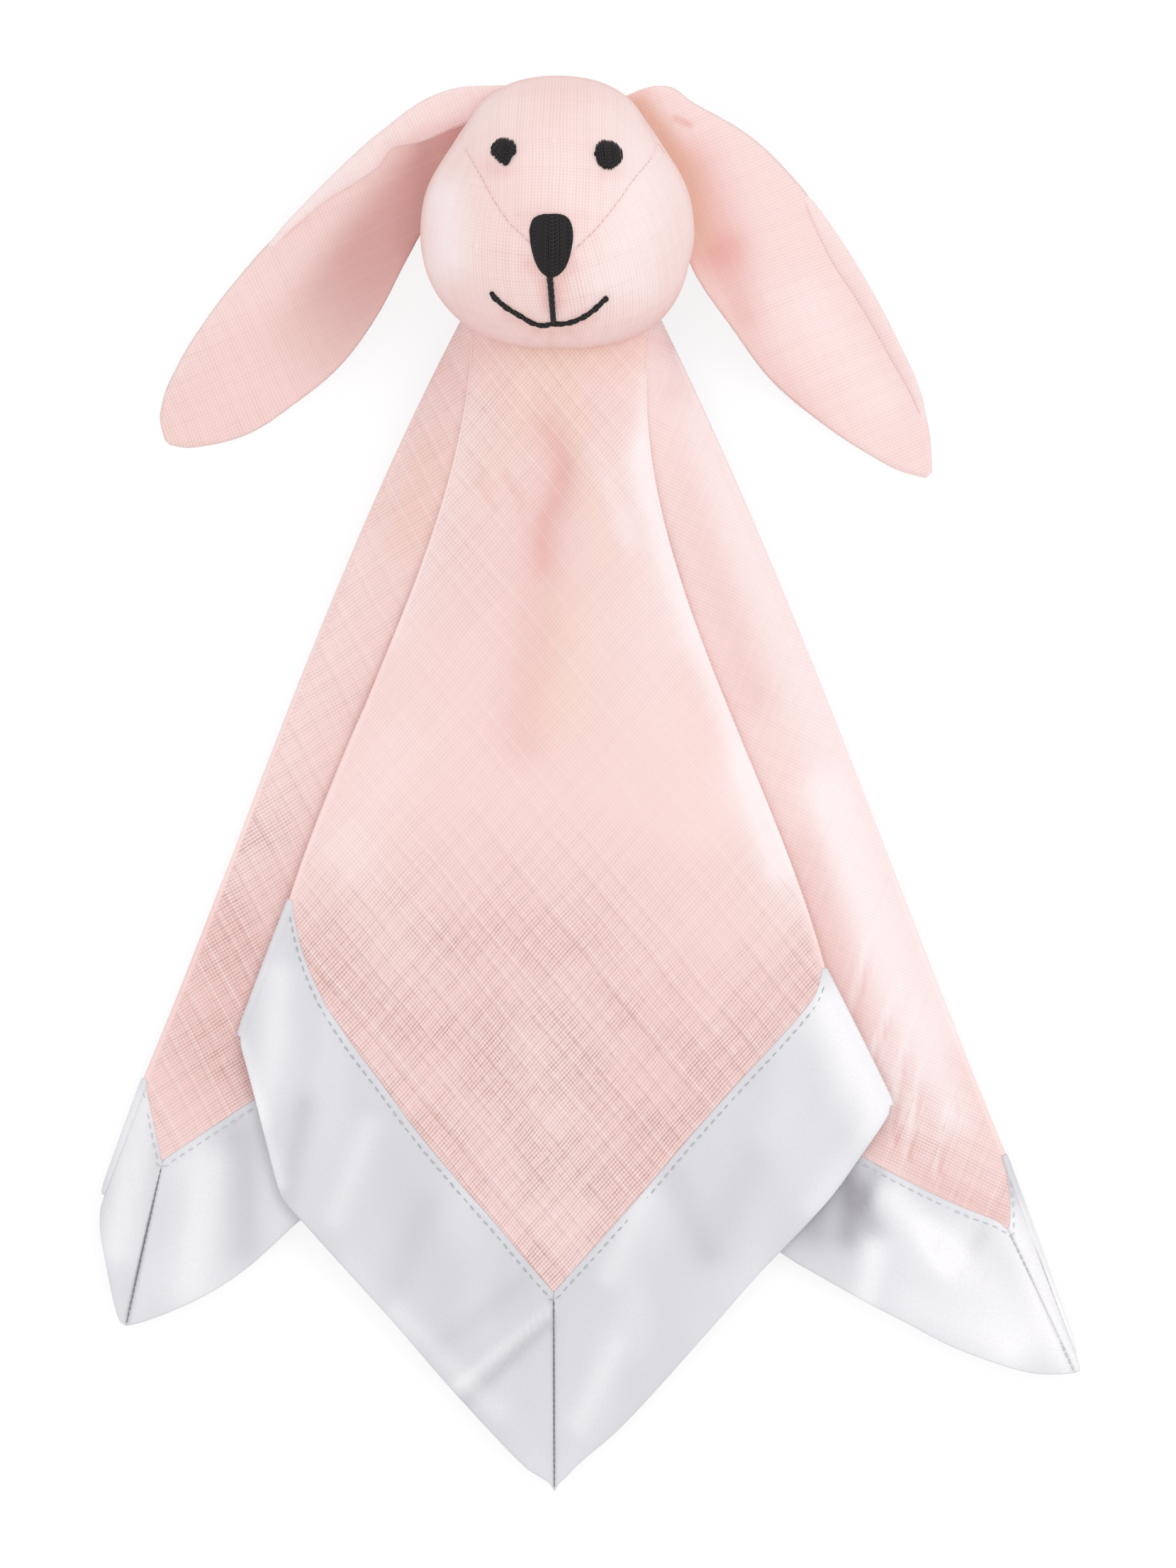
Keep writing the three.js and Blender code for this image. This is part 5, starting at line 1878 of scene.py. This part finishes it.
def lining_heights(ear, width, edge, offsets):
    rim = rim_share(edge)
    outer = (0.45 * rim + 0.75 * (1.0 - rim)) * np.exp(-((offsets - offsets[0]) / (0.7 + 0.5 * rim)) ** 2)
    inner = 0.75 * np.exp(-((width - offsets) / 0.7) ** 2)
    return 0.45 - outer - inner


UNDER_POINTS = 24
OVER_POINTS = 10


def back_offsets(width, edge):
    flat = 0.5 * (1.0 - rim_share(edge))
    under = np.linspace(width - 0.5, 0.6, UNDER_POINTS)
    turn = np.array([0.25, 0.06, 0.0, 0.06, 0.3]) + flat
    over = np.linspace(0.7, max(edge, 0.9), OVER_POINTS) + flat
    return np.concatenate([under, turn, over])


def back_heights(ear, width, edge, offsets):
    rim = rim_share(edge)
    roll = ear["roll"] * min(edge / 5.0, 1.0)
    under = np.full(UNDER_POINTS, -0.45)
    turn = np.array([-0.3, -0.1, 0.35 + 0.3 * roll, 0.7 + 0.6 * roll, 0.9 + 0.9 * roll])
    reach_over = np.linspace(0.0, 1.0, OVER_POINTS)
    over = 1.0 + roll * np.sin(math.pi * (0.35 + 0.65 * reach_over)) * (1.0 - 0.25 * reach_over)
    over -= 0.5 * smoothstep(reach_over, 0.7, 1.0)
    shown = np.concatenate([turn, over]) * rim - 0.4 * (1.0 - rim)
    return np.concatenate([under, shown])


# %% Tones of the ears


def left_lining_tones(u, v, x, y):
    """Painted deep pink shade in the ear's hollow, from the head outwards on its lower side, fading towards
    the tip.
    """
    edge = 9.0 - 0.16 * u
    deep = 0.86 * (1.0 - smoothstep(u, 26.0, 68.0)) * (1.0 - smoothstep(v, edge - 2.0, edge + 9.0))
    deep *= 1.0 - painted(x, y, [([(575, 420), (500, 520)], 4.0, 0.35)], face_xy)
    # Painted deeper shade along the head's edge and at the root.
    deep += painted(x, y, [
        ([(606, 250), (592, 335)], 5.0, 0.3), ([(648, 183), (628, 205)], 1.4, 0.5),
    ], face_xy)
    # Painted creamy shade along the head's edge.
    cream_shade = painted(x, y, [
        ([(604, 205), (600, 260), (592, 345)], 2.4, 0.6), ([(650, 180), (618, 220)], 2.2, 0.2),
    ], face_xy)
    # A little painted highlight towards the outer side and the tip.
    painted_highlight = 0.25 * smoothstep(v, 4.0, 12.0) * smoothstep(u, 30.0, 60.0)
    return deep, cream_shade, painted_highlight, 0.2 + 0.4 * smoothstep(u, 55.0, 80.0)


def left_back_tones(u, v, x, y):
    """The rim is mixed towards near white, more so away from the head, with a painted pink shade where it
    tucks behind the head.
    """
    pink_shade = painted(x, y, [([(652, 182), (600, 188), (585, 205)], 2.2, 0.45)], face_xy)
    return pink_shade, 0.0, 0.35 + 0.3 * smoothstep(u, 0.0, 30.0), 0.2


def right_lining_tones(u, v, x, y):
    """Nearly white, with a painted creamy shade beside the head, a soft painted pink shade along the inner
    side and a painted highlight lower down.
    """
    pink_shade = painted(x, y, [
        ([(978, 240), (1000, 290), (1015, 350)], 7.0, 0.62),
        ([(995, 360), (1060, 480), (1180, 640)], 4.5, 0.3),
        ([(1040, 350), (1060, 440)], 4.5, 0.3), ([(956, 167), (976, 175)], 0.8, 0.6),
    ], face_xy)
    shade = [(905, 150), (936, 188), (960, 225), (976, 258), (984, 300), (987, 340)]
    cream_shade = painted(x, y, [(shade, 3.4, 0.95)], face_xy)
    painted_highlight = painted(x, y, [([(1150, 430), (1250, 560)], 8.0, 0.45)], face_xy)
    return pink_shade, cream_shade, painted_highlight, 0.2


def right_back_tones(u, v, x, y):
    return 0.0, 0.0, 0.3, 0.15


# %% The ears
ears = (
    ("left", left_ear, muslin_lining, left_lining_tones, muslin_face, left_back_tones),
    ("right", right_ear, muslin_ear, right_lining_tones, muslin_ear, right_back_tones),
)
for side, ear, lining, lining_tones, backing, back_tones in ears:
    ear_ply(side, "lining", ear, lining, lining_offsets, lining_heights, lining_tones)
    ear_ply(side, "back", ear, backing, back_offsets, back_heights, back_tones)

# %% [markdown]
# ## Stitches
#
# Topstitching is one small stitch repeated hundreds of times along a line, which is what Geometry Nodes
# are for. The tree resamples a curve to an even pitch, puts one stitch on each point, turned along the
# curve, and makes everything real at the end.

# %% A stitch and the tree that repeats it


def stitch_shape(name, length, radius, material):
    """One stitch, its ends dipping into the cloth. It isn't put in the scene by itself."""
    arch = ((-0.5, -0.25), (-0.3, 0.35), (0.0, 0.55), (0.3, 0.35), (0.5, -0.25))
    line = [(along * length, 0.0, above * radius) for along, above in arch]
    points, faces, uv = yarn(line, radius, 6, 0.3)
    mesh = mesh_from(name, np.array(points) / 1000.0, faces, uv, material)
    face_outwards(mesh)
    return bpy.data.objects.new(name, mesh)


def stitching_tree():
    """Stitches of one shape along a curve, each leaning a little its own way."""
    tree = bpy.data.node_groups.new("stitches_along_a_line", "GeometryNodeTree")
    for name, kind in (("Geometry", "Geometry"), ("Stitch", "Object"), ("Pitch", "Float"), ("Lean", "Float"),
                       ("Thread", "Material")):
        tree.interface.new_socket(name, in_out="INPUT", socket_type="NodeSocket" + kind)
    tree.interface.new_socket("Geometry", in_out="OUTPUT", socket_type="NodeSocketGeometry")
    entry, leave, spread, tangent, align, wobble, negative, tilt, turned, shape, place, real, paint = [
        tree.nodes.new(kind) for kind in (
            "NodeGroupInput", "NodeGroupOutput", "GeometryNodeResampleCurve", "GeometryNodeInputTangent",
            "FunctionNodeAlignRotationToVector", "FunctionNodeRandomValue", "ShaderNodeMath",
            "FunctionNodeAxisAngleToRotation", "FunctionNodeRotateRotation", "GeometryNodeObjectInfo",
            "GeometryNodeInstanceOnPoints", "GeometryNodeRealizeInstances", "GeometryNodeSetMaterial",
        )
    ]
    spread.mode = "LENGTH"
    align.axis = "X"
    align.pivot_axis = "AUTO"
    wobble.data_type = "FLOAT"
    wobble.inputs["Seed"].default_value = 7
    negative.operation = "MULTIPLY"
    negative.inputs[1].default_value = -1.0
    tilt.inputs["Axis"].default_value = (0.0, 0.0, 1.0)
    turned.rotation_space = "LOCAL"
    for source, output, target, socket in (
        (entry, "Geometry", spread, "Curve"), (entry, "Pitch", spread, "Length"),
        (tangent, 0, align, "Vector"), (entry, "Lean", wobble, 3), (entry, "Lean", negative, 0),
        (negative, 0, wobble, 2), (wobble, 1, tilt, "Angle"), (align, "Rotation", turned, "Rotation"),
        (tilt, "Rotation", turned, "Rotate By"), (entry, "Stitch", shape, "Object"),
        (spread, "Curve", place, "Points"), (shape, "Geometry", place, "Instance"),
        (turned, "Rotation", place, "Rotation"), (place, "Instances", real, "Geometry"),
        (real, "Geometry", paint, "Geometry"), (entry, "Thread", paint, "Material"),
        (paint, "Geometry", leave, "Geometry"),
    ):
        tree.links.new(source.outputs[output], target.inputs[socket])
    return tree


stitches_tree = stitching_tree()


def stitch_run(name, lines, stitch, pitch_mm, lean, material, body, slot_name, *nodes):
    """Stitches along one or more lines, baked to a plain mesh."""
    data = bpy.data.curves.new(name + "_line", "CURVE")
    data.dimensions = "3D"
    for line in lines:
        spline = data.splines.new("POLY")
        spline.points.add(len(line) - 1)
        spots = to_metres(line)
        spline.points.foreach_set("co", np.concatenate([spots, np.ones((len(spots), 1))], axis=1).ravel())
    holder = put_in_scene(name + "_line", data)
    sewing = holder.modifiers.new("sewing", "NODES")
    sewing.node_group = stitches_tree
    entries = {s.name: s.identifier for s in stitches_tree.interface.items_tree if s.in_out == "INPUT"}
    sewing[entries["Stitch"]] = stitch
    sewing[entries["Pitch"]] = pitch_mm / 1000.0
    sewing[entries["Lean"]] = lean
    sewing[entries["Thread"]] = material
    bpy.context.view_layer.update()
    mesh = result_of(holder)
    mesh.name = name
    made = put_in_scene(name, mesh)
    bpy.data.objects.remove(holder)
    belongs(made, body, slot_name, *nodes)


top_stitch = stitch_shape("top_stitch", 1.45, 0.12, thread_grey)
mitre_stitch = stitch_shape("mitre_stitch", 1.35, 0.1, thread_dark)

# %% [markdown]
# The seams of the forehead show their machine stitches as tiny pink dots, half sunk in the cloth.

# %% Stitches in the forehead
dot_stitch = stitch_shape("face_stitch", 1.3, 0.06, thread_skin)


def seam_on_face(path, low, high):
    """A seam's path laid on the filled head, between two heights in millimetres above the centre."""
    spots = [np.array([x, y]) + HEAD_CENTRE[0:2] for x, y in path if low < y < high]
    return [(x, y, head_height(x, y) + 0.02) for x, y in spots]


face_seams = [seam_on_face(left_path, -7.0, 14.0), seam_on_face(right_path, -8.0, 12.0)]
stitch_run("face_seam_stitches", face_seams, dot_stitch, 1.6, 0.12, thread_skin, "head", "thread_pink")

# %% [markdown]
# The topstitch runs one and a half millimetres inside the satin's edge. Its line comes from the same
# columns as the strips, so it stays on the satin through every fold.

# %% Topstitching round the corners

STITCH_SHARE = 1.5 / BAND_WIDTH
TOPSTITCH_PITCH = 2.3
TOPSTITCH_LIFT = 0.72


def stitch_line(columns, panel):
    """The topstitch on one panel, where it lies flat, without the turns at the folds."""
    line = []
    for column in columns:
        if column.owner == panel and not at_fold(column):
            spot = band_line(column, [STITCH_SHARE])[0]
            spot[2] += TOPSTITCH_LIFT * good_side(column)
            line.append(spot)
    return line


def topstitches(place, lines, material):
    stitch_run("topstitches_" + place, lines, top_stitch, TOPSTITCH_PITCH, 0.14, material, "blanket",
               "thread_grey", "topstitch_" + place)


topstitches("front", [stitch_line(left_columns, 0)[::-1] + stitch_line(right_columns, 0)[1:]], thread_grey)
for place, columns in (("left", left_columns), ("right", right_columns)):
    topstitches(place, [stitch_line(columns, panel) for panel in (1, 2)], thread_pale)
back_lines = [stitch_line(columns, panel) for columns in (left_columns, right_columns) for panel in (3, 4, 5)]
topstitches("back", back_lines, thread_grey)

# %% Mitre stitches at the corners
MITRE_LIFT = 0.62


def mitre_line(column):
    line = band_line(column, np.linspace(0.06, 0.97, 12))
    line[:, 2] += MITRE_LIFT * good_side(column)
    return line


# The dark mitre thread is partly the thread's own grey and partly a painted shade for the gap where two
# strips meet.
for place, column, pitch, lean, material in (
    ("front", left_columns[0], 1.35, 0.04, thread_dark), ("left", left_back_half[0], 1.35, 0.04, thread_dark),
    ("right", right_back_half[0], 1.6, 0.05, thread_pale), ("back", left_columns[-1], 1.6, 0.05, thread_dark),
):
    stitch_run("mitre_stitches_" + place, [mitre_line(column)], mitre_stitch, pitch, lean, material,
               "blanket", "thread_grey", "mitre_stitch_" + place)

# %% [markdown]
# The blanket's gathered middle is sewn into the neck opening by hand: a ring of short slanting stitches,
# tucked under the chin, half in the cloth and half in the head.

# %% The neck seam
NECK_POINTS = 60
neck_ring = []
for angle in np.linspace(0.0, TURN, NECK_POINTS):
    x = 0.8 + 17.0 * math.cos(angle)
    y = -3.2 - 1.6 * math.sin(angle) ** 2
    neck_ring.append((x, y, 25.0 + 9.5 * math.sin(angle)))
neck_stitch = stitch_shape("neck_stitch", 3.0, 0.25, thread_pink)
stitch_run("neck_stitches", [neck_ring], neck_stitch, 2.4, 0.6, thread_pink, "neck", "thread_pink",
           "neck_thread")
